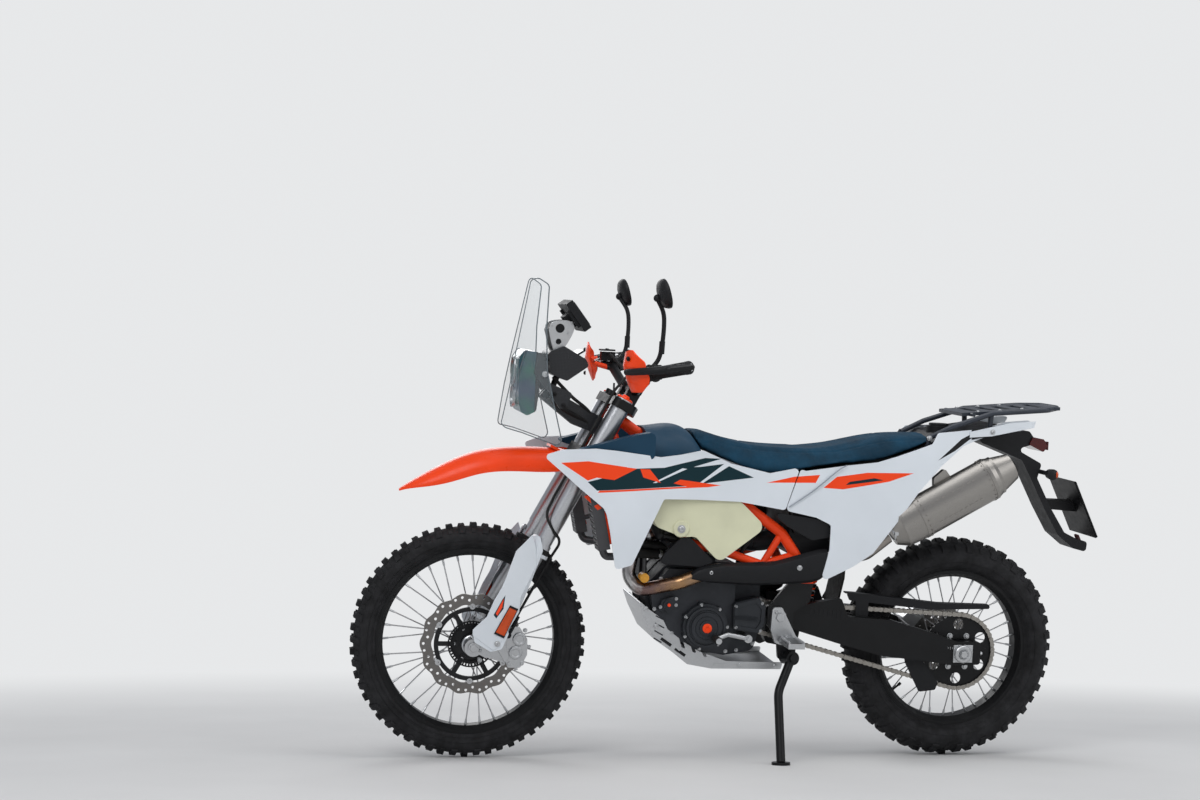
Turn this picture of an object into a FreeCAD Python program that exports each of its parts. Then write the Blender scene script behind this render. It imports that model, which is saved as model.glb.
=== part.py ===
import FreeCAD, Part
from functools import lru_cache
import math
import os

# A dual sport motorcycle in rally trim, leaning on its side stand.
# It is modelled upright (x forward from the rear axle, y to the rider's left, z up, millimetres)
# and leaned over at the end, so that both tyres and the stand's foot meet the ground.

V = FreeCAD.Vector
ORIGIN = V(0, 0, 0)
AXIS_X = V(1, 0, 0)
AXIS_Y = V(0, 1, 0)
AXIS_Z = V(0, 0, 1)

# Stance
WHEELBASE = 1500.0
LEAN = 9.7
RAKE = 27.7
AXLE_LEAD = 55.0
CLAMP_OFFSET = 27.3

# Wheels
FRONT_RADIUS = 351.0
FRONT_CROWN = 46.0
FRONT_BEAD = 266.0
FRONT_RIM_HALF = 30.0
REAR_RADIUS = 343.0
REAR_CROWN = 68.0
REAR_BEAD = 232.0
REAR_RIM_HALF = 40.0
RIM_DEPTH = 12.0
FRONT_PITCHES = 30
FRONT_LUG = 12.0
REAR_PITCHES = 24
REAR_LUG = 14.0
TREAD_HALF = 15.0
SHOULDER = 49.0
SHOULDER_HALF = 15.0
SIDE_STEP = 4.0
FLANGE = 10.0
SPOKE_RADIUS = 2.0
SPOKES = 36
AXLE_RADIUS = 10.0
RUN_FIT = 0.05

# Brakes
FRONT_DISC = 150.0
FRONT_DISC_Y = 62.0
REAR_DISC = 120.0
REAR_DISC_Y = -84.0
DISC_THICK = 5.0

# Drive
CHAIN_PITCH = 15.875
CHAIN_Y = 87.0
CHAIN_GAP = 10.0
CHAIN_PLATE = 4.0
CHAIN_HEIGHT = 15.0
REAR_TEETH = 45
FRONT_TEETH = 16
DRIVE_X = 667.0
DRIVE_Z = 450.0
SPROCKET_THICK = 5.2
CHAIN_SWELL = 2.2
REAR_REACH = 150.0
FRONT_REACH = 90.0

# Fork and steering
LEG_SPAN = 206.0
LEG_OUTER = 28.0
LEG_INNER = 24.0
OUTER_LOW = 334.0
FORK_TOP = 842.0
CLAMP_LOW = 622.0
CLAMP_LOW_HEIGHT = 42.0
CLAMP_TOP = 811.0
CLAMP_TOP_HEIGHT = 27.0
STEM_RADIUS = 15.0
HEAD_RADIUS = 27.0
HEAD_GAP = 0.8

# Handlebar
BAR_RADIUS = 14.0
GRIP_RADIUS = 17.0
BAR_HALF = 405.0
BAR_TURN_Y = 225.0
GRIP_START = 272.0

# Frame
PIVOT_X = 592.0
PIVOT_Z = 456.0
MAIN_TUBE = 16.0
LOW_TUBE = 13.0
BRACE_TUBE = 10.5
PLATE_Y = 131.0
PLATE_THICK = 12.0
SWING_Y = 102.0
SWING_WIDTH = 26.0

# Bodywork
PANEL = 4.0

# Luggage rack
RACK_SLOPE = 5.0
RACK_HOLES_X = -96.0
RACK_HOLES_PCD = 200.0
RACK_HOLE = 3.3

# Side stand
STAND_PIVOT = V(561, 158, 335)
STAND_FOOT_X = 613.0
STAND_FOOT_Y = 300.0
STAND_RADIUS = 13.0
STAND_BOLT = 8.0
STAND_FOOT = 27.0
STAND_EYE = 30.0
STAND_FOOT_THICK = 8.0
STAND_STOWED = V(-0.985, 0.10, 0.14)

TAN_LEAN = math.tan(math.radians(LEAN))
COS_LEAN = math.cos(math.radians(LEAN))
SIN_RAKE = math.sin(math.radians(RAKE))
COS_RAKE = math.cos(math.radians(RAKE))
LEG_Y = LEG_SPAN / 2
REAR_Z = REAR_RADIUS - REAR_CROWN + REAR_CROWN / COS_LEAN
FRONT_Z = FRONT_RADIUS - FRONT_CROWN + FRONT_CROWN / COS_LEAN
FRONT_AXLE = V(WHEELBASE, 0, FRONT_Z)
REAR_AXLE = V(0, 0, REAR_Z)
PIVOT = V(PIVOT_X, 0, PIVOT_Z)
STEER_UP = V(-SIN_RAKE, 0, COS_RAKE)
STEER_AHEAD = V(COS_RAKE, 0, SIN_RAKE)


def steer_point(along, ahead, y):
    """A point given along the steering axis, ahead of it and to the left."""
    return FRONT_AXLE + STEER_UP * along + STEER_AHEAD * (ahead - AXLE_LEAD) + AXIS_Y * y


STEER_ORIGIN = steer_point(0, 0, 0)


# Small building tools

def box(x0, x1, y0, y1, z0, z1):
    """A block between two corners."""
    return Part.makeBox(x1 - x0, y1 - y0, z1 - z0, V(x0, y0, z0))


def rod(start, end, radius):
    """A round bar between two points."""
    along = end - start
    return Part.makeCylinder(radius, along.Length, start, along)


def cross_rod(x, z, y0, y1, radius):
    """A round bar across the machine."""
    return Part.makeCylinder(radius, y1 - y0, V(x, y0, z), AXIS_Y)


def ball(centre, radius):
    """A round joint between bars."""
    return Part.makeSphere(radius, centre)


def joined(solids):
    """One piece made of touching solids."""
    solids = list(solids)
    if len(solids) == 1:
        return solids[0]
    return solids[0].fuse(solids[1:]).removeSplitter()


def cut_by(piece, others):
    """A piece trimmed to sit against its neighbours."""
    return piece.cut(list(others))


def mirrored(piece):
    """The same piece on the other side."""
    return piece.mirror(ORIGIN, AXIS_Y)


def both(piece):
    """A piece and its mirror image, kept apart."""
    return Part.makeCompound([piece, mirrored(piece)])


def outline_wire(points, radius=0.0):
    """A closed wire through points, its corners rounded by an arc where the sides allow."""
    count = len(points)
    edges = []
    ends = []
    for i in range(count):
        here = points[i]
        to_last = points[i - 1] - here
        to_next = points[(i + 1) % count] - here
        turn = math.pi - to_last.getAngle(to_next)
        reach = min(radius * math.tan(turn / 2), 0.45 * to_last.Length, 0.45 * to_next.Length)
        if reach < 0.3:
            ends.append((here, here))
            continue
        a = here + to_last.normalize() * reach
        b = here + to_next.normalize() * reach
        bend = reach / math.tan(turn / 2)
        inward = (to_last + to_next).normalize()
        middle = here + inward * (bend / math.cos(turn / 2) - bend)
        edges.append(Part.Arc(a, middle, b).toShape())
        ends.append((a, b))
    for i in range(count):
        a = ends[i][1]
        b = ends[(i + 1) % count][0]
        if a.distanceToPoint(b) > 0.01:
            edges.append(Part.makeLine(a, b))
    return Part.Wire(Part.__sortEdges__(edges))


def side_plate(outline, y0, y1, radius=0.0):
    """A plate seen from the side, with an outline of (x, z) points."""
    wire = outline_wire([V(x, y0, z) for x, z in outline], radius)
    return Part.Face(wire).extrude(V(0, y1 - y0, 0))


def top_plate(outline, z0, z1, radius=0.0):
    """A plate seen from above, with an outline of (x, y) points."""
    wire = outline_wire([V(x, y, z0) for x, y in outline], radius)
    return Part.Face(wire).extrude(V(0, 0, z1 - z0))


def steer_plate(outline, along, height, radius=0.0):
    """A plate square to the steering axis, with an outline of (ahead, y) points."""
    wire = outline_wire([steer_point(along, a, y) for a, y in outline], radius)
    return Part.Face(wire).extrude(STEER_UP * height)


def turned(section, centre, axis=AXIS_Y):
    """A ring or disc turned about an axis across the machine from (radius, y) points."""
    points = [centre + AXIS_X * r + AXIS_Y * y for r, y in section]
    face = Part.Face(Part.makePolygon(points + points[:1]))
    return face.revolve(centre, axis, 360)


def ring(centre, outer, inner, y0, y1):
    """A flat ring across the machine."""
    return turned([(outer, y0), (outer, y1), (inner, y1), (inner, y0)], centre)


def bent_tube(points, radius, bend):
    """A round bar through points, made of straight runs and round bends."""
    pieces = []
    last = points[0]
    for i in range(1, len(points) - 1):
        here = points[i]
        to_last = (points[i - 1] - here).normalize()
        to_next = (points[i + 1] - here).normalize()
        turn = math.pi - to_last.getAngle(to_next)
        room = 0.45 * min(here.distanceToPoint(points[i - 1]), here.distanceToPoint(points[i + 1]))
        reach = min(bend * math.tan(turn / 2), room)
        size = reach / math.tan(turn / 2)
        start = here + to_last * reach
        inward = (to_last + to_next).normalize()
        centre = here + inward * (size / math.cos(turn / 2))
        if size <= radius:
            pieces.append(rod(last, here, radius))
            pieces.append(ball(here, radius))
            last = here
            continue
        axis = to_last.cross(to_next) * -1
        section = Part.Face(Part.Wire(Part.makeCircle(radius, start, to_last * -1)))
        pieces.append(rod(last, start, radius))
        pieces.append(section.revolve(centre, axis, math.degrees(turn)))
        last = here + to_next * reach
    pieces.append(rod(last, points[-1], radius))
    return pieces[0].fuse(pieces[1:])


def curve(points):
    """A smooth edge through points."""
    spline = Part.BSplineCurve()
    spline.interpolate(points)
    return spline.toShape()


def skin_wire(z, plan, inward):
    """The closed outline of a thin curved wall at one height, from the (x, y) points of its outer face."""
    outer = [V(x, y, z) for x, y in plan]
    inner = [p + inward for p in outer]
    edges = [curve(outer), Part.makeLine(outer[-1], inner[-1]), curve(inner), Part.makeLine(inner[0], outer[0])]
    return Part.Wire(Part.__sortEdges__(edges))


def skin(levels, inward, ruled=True):
    """A thin curved wall through outlines at several heights."""
    wires = [skin_wire(z, plan, inward) for z, plan in levels]
    return Part.makeLoft(wires, True, ruled)


def through(centre, length, width, height, direction):
    """A block centred on a point and turned to a direction in plan and side view."""
    block = box(-length / 2, length / 2, -width / 2, width / 2, -height / 2, height / 2)
    block.Placement = FreeCAD.Placement(centre, direction)
    return block


# Wheels

def tyre(centre, radius, crown, bead, rim_half, pitches, lug):
    """A tyre with rows of blocks, seated between the rim's flanges.

    One pitch of it is made with its blocks, and copies of its faces are sewn into one skin.
    """
    middle = radius - crown
    floor = crown - lug
    seat = rim_half - RIM_DEPTH / 3
    flange = bead + FLANGE + 0.5
    step = 2 * math.pi / pitches
    bulge = crown - SIDE_STEP
    half = [(bead, seat), (flange, seat), (flange, rim_half), ((flange + middle) / 2, bulge)]
    half.append((middle, bulge))
    edge = math.radians(SHOULDER + SHOULDER_HALF + 2)
    half.append((middle + floor * math.cos(edge), bulge * math.sin(edge)))
    edge = math.radians(SHOULDER - SHOULDER_HALF - 2)
    half.append((middle + floor, bulge * math.sin(edge)))
    section = half + [(r, -y) for r, y in reversed(half)]
    ends = []
    for angle in (0, step):
        ahead = V(math.cos(angle), 0, -math.sin(angle))
        ends.append([centre + ahead * (r / math.cos(step / 2)) + AXIS_Y * y for r, y in section])
    quads = []
    for i in range(len(section)):
        quads.append([ends[0][i - 1], ends[0][i], ends[1][i], ends[1][i - 1]])
    pitch = sewn(Part.Face(Part.makePolygon(corners + corners[:1])) for corners in quads + ends)
    blocks = [tread_block(centre, radius, crown, lug, 0, TREAD_HALF, step / 4)]
    for side in (1, -1):
        blocks.append(tread_block(centre, radius, crown, lug, side * SHOULDER, SHOULDER_HALF, step * 3 / 4))
    pitch = pitch.fuse(blocks)
    kept = []
    for face in pitch.Faces:
        out = face.CenterOfMass - centre
        turn = math.atan2(-out.z, out.x)
        if min(abs(turn), abs(turn - step)) > 1e-5:
            kept.append(face)
    faces = []
    for i in range(pitches):
        for face in kept:
            copy = face.copy()
            copy.rotate(centre, AXIS_Y, math.degrees(math.pi / 2 - step / 4 + i * step))
            faces.append(copy)
    return sewn(faces)


def sewn(faces):
    """A solid inside touching faces."""
    skin = Part.makeCompound(list(faces))
    skin.sewShape()
    solid = Part.Solid(skin.Shells[0])
    if solid.Volume < 0:
        solid.reverse()
    return solid


def tread_block(centre, radius, crown, lug, lean, half, turn):
    """One tread block at an angle round the crown and a turn round the wheel, its corners on the tip circle."""
    length = lug * 1.5
    sink = (length / 2) ** 2 / (2 * radius)
    normal = V(math.cos(math.radians(lean)), math.sin(math.radians(lean)), 0)
    points = []
    for side in (-1, 1):
        angle = math.radians(lean + side * half)
        tip = V(radius - crown - sink + crown * math.cos(angle), crown * math.sin(angle), -length / 2)
        points.append([tip, tip - normal * (lug + 4)])
    outline = [points[0][0], points[1][0], points[1][1], points[0][1]]
    block = Part.Face(Part.makePolygon(outline + outline[:1])).extrude(AXIS_Z * length)
    block.rotate(ORIGIN, AXIS_Y, math.degrees(turn))
    block.translate(centre)
    return block


def rim(centre, bead, half):
    """A drop-centre rim with two flanges."""
    seat = half - RIM_DEPTH / 3
    well = half * 0.5
    section = [
        (bead + FLANGE, -half), (bead + FLANGE, -seat), (bead, -seat), (bead, seat), (bead + FLANGE, seat),
        (bead + FLANGE, half), (bead, half), (bead - RIM_DEPTH, well), (bead - RIM_DEPTH, -well), (bead, -half),
    ]
    return turned(section, centre)


def hub(centre, bead, flange_radius, flange_y, half):
    """A hub with two spoke flanges, its crossed spokes and the bore for the axle."""
    section = [
        (AXLE_RADIUS + RUN_FIT, -half), (AXLE_RADIUS + 12, -half), (flange_radius * 0.7, -flange_y - 6),
        (flange_radius, -flange_y - 3), (flange_radius, -flange_y + 3), (flange_radius * 0.6, -flange_y + 12),
        (flange_radius * 0.6, flange_y - 12), (flange_radius, flange_y - 3), (flange_radius, flange_y + 3),
        (flange_radius * 0.7, flange_y + 6), (AXLE_RADIUS + 12, half), (AXLE_RADIUS + RUN_FIT, half),
    ]
    body = turned(section, centre)
    spokes = []
    for i in range(SPOKES):
        side = 1 if i % 2 else -1
        cross = 1 if i % 4 < 2 else -1
        angle = math.radians(i * 360.0 / SPOKES)
        start_angle = angle + cross * math.radians(50)
        start = centre + V(math.cos(start_angle), 0, math.sin(start_angle)) * (flange_radius - 5)
        start = start + AXIS_Y * (side * flange_y)
        end = centre + V(math.cos(angle), 0, math.sin(angle)) * (bead - RIM_DEPTH + 1)
        end = end + AXIS_Y * (side * 6)
        along = end - start
        spoke = Part.Face(Part.makePolygon(hexagon(start, along, SPOKE_RADIUS))).extrude(along)
        spokes.append(spoke)
    return body.fuse(spokes)


def hexagon(centre, normal, radius):
    """A closed six-sided outline square to a direction."""
    side = normal.cross(AXIS_Y).normalize()
    other = normal.cross(side).normalize()
    points = []
    for i in range(7):
        angle = math.radians(i * 60)
        points.append(centre + side * (radius * math.cos(angle)) + other * (radius * math.sin(angle)))
    return points


def wave_disc(centre, outer, inner, y, waves):
    """A brake disc with a wavy edge inside and out."""
    solids = []
    for radius, depth in ((outer, 5.0), (inner, 4.0)):
        points = []
        for i in range(waves * 2):
            angle = math.radians(i * 180.0 / waves)
            r = radius - depth * (i % 2)
            points.append(centre + V(r * math.cos(angle), y - DISC_THICK / 2, r * math.sin(angle)))
        spline = Part.BSplineCurve()
        spline.interpolate(points, True)
        solids.append(Part.Face(Part.Wire(spline.toShape())).extrude(AXIS_Y * DISC_THICK))
    return solids[0].cut(solids[1])


def sprocket(centre, teeth, y, hole):
    """A toothed wheel that runs between the chain's plates."""
    pitch_radius = CHAIN_PITCH / (2 * math.sin(math.pi / teeth))
    points = []
    for i in range(teeth):
        for share, rise in ((-0.22, -3.5), (-0.08, 4.0), (0.08, 4.0), (0.22, -3.5)):
            angle = 2 * math.pi * (i + share) / teeth
            r = pitch_radius + rise
            points.append(centre + V(r * math.cos(angle), y - SPROCKET_THICK / 2, r * math.sin(angle)))
    face = Part.Face(Part.makePolygon(points + points[:1]))
    disc = face.extrude(AXIS_Y * SPROCKET_THICK)
    bore = cross_rod(centre.x, centre.z, y - SPROCKET_THICK, y + SPROCKET_THICK, hole)
    return disc.cut(bore)


@lru_cache(maxsize=None)
def front_tyre():
    return tyre(FRONT_AXLE, FRONT_RADIUS, FRONT_CROWN, FRONT_BEAD, FRONT_RIM_HALF, FRONT_PITCHES, FRONT_LUG)


@lru_cache(maxsize=None)
def rear_tyre():
    return tyre(REAR_AXLE, REAR_RADIUS, REAR_CROWN, REAR_BEAD, REAR_RIM_HALF, REAR_PITCHES, REAR_LUG)


@lru_cache(maxsize=None)
def front_hub():
    body = hub(FRONT_AXLE, FRONT_BEAD, 34, 32, 58)
    spider = ring(FRONT_AXLE, 60, AXLE_RADIUS + 12, FRONT_DISC_Y - 9, FRONT_DISC_Y - DISC_THICK / 2)
    carrier = ring(FRONT_AXLE, 109, 96, FRONT_DISC_Y - DISC_THICK / 2, FRONT_DISC_Y + DISC_THICK / 2)
    arms = []
    for i in range(6):
        arm = box(40, 100, FRONT_DISC_Y - DISC_THICK / 2, FRONT_DISC_Y + DISC_THICK / 2, -7, 7)
        arm.rotate(ORIGIN, AXIS_Y, i * 60)
        arm.translate(FRONT_AXLE)
        arms.append(arm)
    return joined([body, spider, carrier] + arms)


@lru_cache(maxsize=None)
def front_disc():
    return wave_disc(FRONT_AXLE, FRONT_DISC, 114, FRONT_DISC_Y, 12)


@lru_cache(maxsize=None)
def rear_hub():
    body = hub(REAR_AXLE, REAR_BEAD, 44, 34, 80)
    drive = ring(REAR_AXLE, 62, 22, 60, CHAIN_Y - SPROCKET_THICK / 2)
    brake = ring(REAR_AXLE, 50, 22, REAR_DISC_Y + DISC_THICK / 2, -60)
    return joined([body, drive, brake])


@lru_cache(maxsize=None)
def rear_sprocket():
    disc = sprocket(REAR_AXLE, REAR_TEETH, CHAIN_Y, 40)
    holes = []
    for i in range(6):
        angle = math.radians(30 + i * 60)
        x = REAR_AXLE.x + 84 * math.cos(angle)
        z = REAR_AXLE.z + 84 * math.sin(angle)
        holes.append(cross_rod(x, z, CHAIN_Y - 10, CHAIN_Y + 10, 17))
    return disc.cut(holes)


@lru_cache(maxsize=None)
def rear_disc():
    return wave_disc(REAR_AXLE, REAR_DISC, 40, REAR_DISC_Y, 10)


# Fork and steering

def leg_solid(radius, low, high, side):
    """A round piece of a fork leg."""
    return rod(steer_point(low, CLAMP_OFFSET, side * LEG_Y), steer_point(high, CLAMP_OFFSET, side * LEG_Y), radius)


@lru_cache(maxsize=None)
def fork_tubes():
    legs = []
    for side in (1, -1):
        leg = leg_solid(LEG_OUTER - 2, OUTER_LOW, FORK_TOP, side)
        sleeve = leg_solid(LEG_OUTER, OUTER_LOW + 60, FORK_TOP - 4, side)
        collar = leg_solid(LEG_OUTER + 1, OUTER_LOW, OUTER_LOW + 26, side)
        legs.append(joined([leg, sleeve, collar]))
    return Part.makeCompound(legs)


@lru_cache(maxsize=None)
def fork_sliders():
    leg = leg_solid(LEG_INNER, 10, OUTER_LOW, 1)
    lug = cross_rod(FRONT_AXLE.x, FRONT_AXLE.z, LEG_Y - 24, LEG_Y + 20, 26)
    turn = FreeCAD.Rotation(AXIS_Y, -RAKE)
    foot = through(steer_point(22, AXLE_LEAD * 0.72, LEG_Y), 62, 40, 62, turn)
    side = joined([leg, lug, foot])
    caliper_lug = side_plate([(1462, 402), (1462, 318), (1400, 300), (1392, 330), (1400, 396)], 78, 88, 6)
    axle = cross_rod(FRONT_AXLE.x, FRONT_AXLE.z, -LEG_Y - 26, LEG_Y + 26, AXLE_RADIUS)
    return joined([side, mirrored(side), caliper_lug, axle])


@lru_cache(maxsize=None)
def triple_clamps():
    low = [(CLAMP_OFFSET + 34, LEG_Y + 38), (CLAMP_OFFSET - 34, LEG_Y + 38), (-36, 44), (-44, 0), (-36, -44),
           (CLAMP_OFFSET - 34, -LEG_Y - 38), (CLAMP_OFFSET + 34, -LEG_Y - 38), (CLAMP_OFFSET + 22, 0)]
    lower = steer_plate(low, CLAMP_LOW, CLAMP_LOW_HEIGHT, 22)
    upper = steer_plate(low, CLAMP_TOP, CLAMP_TOP_HEIGHT, 22)
    stem = rod(steer_point(CLAMP_LOW, 0, 0), steer_point(CLAMP_TOP + CLAMP_TOP_HEIGHT + 12, 0, 0), STEM_RADIUS)
    body = joined([lower, upper, stem])
    for side in (1, -1):
        middle = steer_point(CLAMP_TOP + CLAMP_TOP_HEIGHT + 22, 3, side * 50)
        body = body.fuse(through(middle, 40, 26, 52, FreeCAD.Rotation(AXIS_Y, -RAKE)))
    return cut_by(body, [fork_tubes(), handlebar()]).removeSplitter()


def bar_path():
    """The handlebar's line from end to end."""
    half = [V(1045, 75, 1108), V(1056, BAR_TURN_Y, 1163), V(974, BAR_HALF, 1196)]
    other = [V(p.x, -p.y, p.z) for p in reversed(half)]
    return other + half


def grip_line():
    """The left grip's start and end, on the bar's last straight run."""
    knee, end = bar_path()[-2:]
    along = (end - knee).normalize()
    start = knee + along * ((GRIP_START - BAR_TURN_Y) / along.y)
    return start, end, along


@lru_cache(maxsize=None)
def handlebar():
    return bent_tube(bar_path(), BAR_RADIUS, 60)


@lru_cache(maxsize=None)
def grips():
    start, end, along = grip_line()
    grip = rod(start, end - along * 6, GRIP_RADIUS).fuse(rod(start - along * 4, start, GRIP_RADIUS + 5))
    grip = grip.cut(rod(start - along * 20, end + along * 20, BAR_RADIUS))
    return both(grip)


@lru_cache(maxsize=None)
def handguards():
    """Shells in front of the grips on their arms."""
    plan = [(1084, 388), (1106, 366), (1124, 334), (1132, 300), (1124, 258)]
    levels = []
    for z, back in ((1100, 34), (1150, 12), (1190, 0), (1250, 8)):
        levels.append((z, [(x - back, y) for x, y in plan]))
    shell = skin(levels, AXIS_X * -PANEL)
    outline = [(262, 1150), (290, 1116), (352, 1120), (386, 1150), (380, 1206), (330, 1238), (270, 1226)]
    wire = outline_wire([V(950, y, z) for y, z in outline], 20)
    shell = shell.common(Part.Face(wire).extrude(V(250, 0, 0)))
    knee, end = bar_path()[-2:]
    start, end, along = grip_line()
    arm = bent_tube([end + along * 1, end + along * 18, V(1030, 426, 1190), V(1104, 366, 1180)], 8, 12)
    mount = rod(V(1056, 214, 1159), V(1108, 250, 1172), 8)
    piece = joined([shell, arm, mount])
    return both(piece).cut([handlebar(), control_levers()])


def lever_mounts():
    """The left lever's perch on the bar, and the master cylinder that its twin carries."""
    start, end, along = grip_line()
    perch = rod(start - along * 34, start - along * 10, 21)
    master = through(start - along * 26 + V(24, 6, 29), 44, 26, 28, FreeCAD.Rotation())
    return perch, master


@lru_cache(maxsize=None)
def control_levers():
    """Perches, blade levers and the front brake's master cylinder."""
    start, end, along = grip_line()
    base = start - along * 20
    perch, master = lever_mounts()
    arm = rod(base, base + V(46, 4, 4), 11)
    lever = bent_tube([base + V(40, -4, 2), base + V(52, 60, 8), end + V(40, -30, 0), end + V(40, -14, 0)], 6, 30)
    bar = rod(start - along * 38, end, BAR_RADIUS)
    left = joined([perch, arm, lever]).cut(bar)
    right = joined([perch, master, arm, lever]).cut(bar)
    return Part.makeCompound([left, mirrored(right)])


@lru_cache(maxsize=None)
def mirrors():
    base = V(1052, 236, 1190)
    stem = bent_tube([base - V(6, 0, 14), V(1012, 238, 1226), V(1011, 246, 1328), V(1030, 262, 1376)], 6, 20)
    head = Part.makeSphere(50)
    matrix = FreeCAD.Matrix()
    matrix.scale(V(0.26, 1.1, 0.86))
    head = head.transformGeometry(matrix)
    head.rotate(ORIGIN, AXIS_Y, -16)
    head.translate(V(1022, 276, 1396))
    front_half = through(V(1022, 276, 1396) + V(26, 0, -7), 50, 200, 200, FreeCAD.Rotation(AXIS_Y, -16))
    head = head.common(front_half.fuse(front_half.translated(V(-14, 0, 4))))
    piece = joined([stem, head])
    perch, master = lever_mounts()
    piece = piece.cut([perch, handlebar()])
    return Part.makeCompound([piece, mirrored(piece.cut(master))])


@lru_cache(maxsize=None)
def front_fender():
    """A high beak, crowned across, with a slot of air over the wheel."""
    stations = [
        (1722, 796, 790, 10), (1660, 836, 806, 42), (1580, 880, 824, 58), (1500, 912, 850, 66),
        (1400, 927, 862, 70), (1300, 929, 862, 70), (1240, 925, 868, 66),
    ]
    outer = loft_arches(stations, 0)
    inner = loft_arches([(x, top, low - 0.5, half) for x, top, low, half in stations], PANEL)
    shell = outer.cut(inner)
    low_edge = CLAMP_LOW
    mount = steer_plate([(CLAMP_OFFSET + 20, 40), (CLAMP_OFFSET + 110, 40), (CLAMP_OFFSET + 110, -40),
                         (CLAMP_OFFSET - 40, -40), (CLAMP_OFFSET - 40, 40)], low_edge - 8, 8, 6)
    return joined([shell, mount]).cut([fork_tubes()])


def loft_arches(stations, inset):
    """A crowned solid through stations of x, top height, edge height and half width."""
    wires = []
    for x, top, low, half in stations:
        w = max(half - inset, 3)
        t = top - inset
        rise = t - low
        left = V(x, w, low)
        right = V(x, -w, low)
        crown = Part.BSplineCurve()
        shape = [left, V(x, w * 0.86, low + rise * 0.55), V(x, w * 0.5, low + rise * 0.9), V(x, 0, t)]
        shape += [V(p.x, -p.y, p.z) for p in reversed(shape[:3])]
        crown.interpolate(shape)
        wires.append(Part.Wire([crown.toShape(), Part.makeLine(right, left)]))
    return Part.makeLoft(wires, True, False)


@lru_cache(maxsize=None)
def fork_guards():
    """Shields that wrap the sliders' front and outer side."""
    outline = [(1322, 690), (1350, 672), (1392, 576), (1420, 512), (1450, 440), (1506, 398), (1500, 372),
               (1452, 344), (1420, 352), (1372, 459), (1340, 553), (1312, 640)]
    low = steer_point(-10, CLAMP_OFFSET, LEG_Y)
    high = steer_point(OUTER_LOW + 40, CLAMP_OFFSET, LEG_Y)
    shell = rod(low, high, LEG_OUTER + 9).cut(rod(low, high, LEG_OUTER + 5.5))
    shell = shell.common(side_plate(outline, LEG_Y - 4, LEG_Y + 60, 10))
    cheek = side_plate([(1450, 440), (1506, 398), (1500, 372), (1452, 344), (1420, 352), (1400, 400)],
                       LEG_Y + LEG_OUTER + 5.5, LEG_Y + LEG_OUTER + 9, 8)
    clip_a = leg_solid(LEG_OUTER + 6, 60, 70, 1).cut(leg_solid(LEG_INNER, 50, 80, 1))
    clip_b = leg_solid(LEG_OUTER + 6, OUTER_LOW - 12, OUTER_LOW - 2, 1).cut(leg_solid(LEG_INNER, 300, 340, 1))
    piece = joined([shell, cheek, clip_a, clip_b])
    return both(piece).cut([fork_sliders(), fork_tubes()])


@lru_cache(maxsize=None)
def front_caliper():
    outline = [(1410, 405), (1363, 408), (1338, 372), (1337, 326), (1356, 287), (1393, 287), (1404, 318), (1402, 380)]
    body = side_plate(outline, 38, 90, 8)
    slot = cross_rod(FRONT_AXLE.x, FRONT_AXLE.z, FRONT_DISC_Y - 8, FRONT_DISC_Y + 8, FRONT_DISC + 6)
    return body.cut([slot, fork_sliders()])


@lru_cache(maxsize=None)
def brake_hose():
    low = [(98, -22, 72), (170, -16, 96), (330, -14, 104), (392, -14, 124), (408, 27, 143), (436, 66, 124),
           (500, 67, 104), (850, 67, 102), (930, 48, 92), (938, 30, 0), (930, 30, -120)]
    path = [steer_point(along, ahead, y) for along, ahead, y in low]
    path += [V(1068, -196, 1202), V(1068, -252, 1204)]
    return bent_tube(path, 4, 60).cut([front_caliper(), fork_guards(), control_levers()])


# Frame, engine and drive

@lru_cache(maxsize=None)
def frame():
    """A trellis of round tubes from the steering head to the swing arm's pivot plates."""
    y_main = 128
    top_front = V(724, y_main, 794)
    top_rear = V(593, y_main, 704)
    knee = V(547, y_main, 639)
    seat_node = V(504, y_main, 549)
    low_front = V(960, 112, 690)
    low_mid = V(746, y_main, 639)
    low_rear = V(650, y_main, 608)
    shoulder = V(905, 96, 896)
    main_line = [steer_point(CLAMP_TOP - 24, -14, 22), V(975, 34, 948), shoulder, top_front, top_rear, knee, seat_node]
    down_line = [steer_point(CLAMP_TOP - 76, -14, 22), steer_point(CLAMP_LOW + 46, -94, 34), low_front]
    low_line = [low_front, low_mid, low_rear, knee]
    braces = [(low_front, shoulder), (low_front, top_front), (top_front, low_mid), (top_rear, low_rear)]
    tubes = [bent_tube(main_line, MAIN_TUBE, 60), bent_tube(down_line, MAIN_TUBE, 60)]
    tubes.append(ball(low_front, MAIN_TUBE))
    tubes.append(bent_tube(low_line, LOW_TUBE, 26))
    for a, b in braces:
        tubes.append(rod(a, b, BRACE_TUBE))
    outline = [(540, 590), (490, 560), (500, 500), (548, 470), (548, 420), (536, 380), (536, 330), (566, 318),
               (590, 330), (596, 390), (628, 430), (628, 480), (590, 530)]
    plate = side_plate(outline, PLATE_Y, PLATE_Y + PLATE_THICK, 12)
    tubes.append(plate)
    side = joined(tubes)
    head = rod(steer_point(CLAMP_LOW + CLAMP_LOW_HEIGHT + HEAD_GAP, 0, 0),
               steer_point(CLAMP_TOP - HEAD_GAP, 0, 0), HEAD_RADIUS)
    bore = rod(steer_point(CLAMP_LOW, 0, 0), steer_point(FORK_TOP, 0, 0), STEM_RADIUS + RUN_FIT)
    spindle = cross_rod(PIVOT_X, PIVOT_Z, -PLATE_Y - PLATE_THICK - 6, PLATE_Y + PLATE_THICK + 6, 12)
    cross_top = rod(V(593, -y_main, 704), V(593, y_main, 704), BRACE_TUBE)
    body = joined([side, mirrored(side), head, spindle, cross_top, stand_boss()])
    return body.cut(bore)


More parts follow.
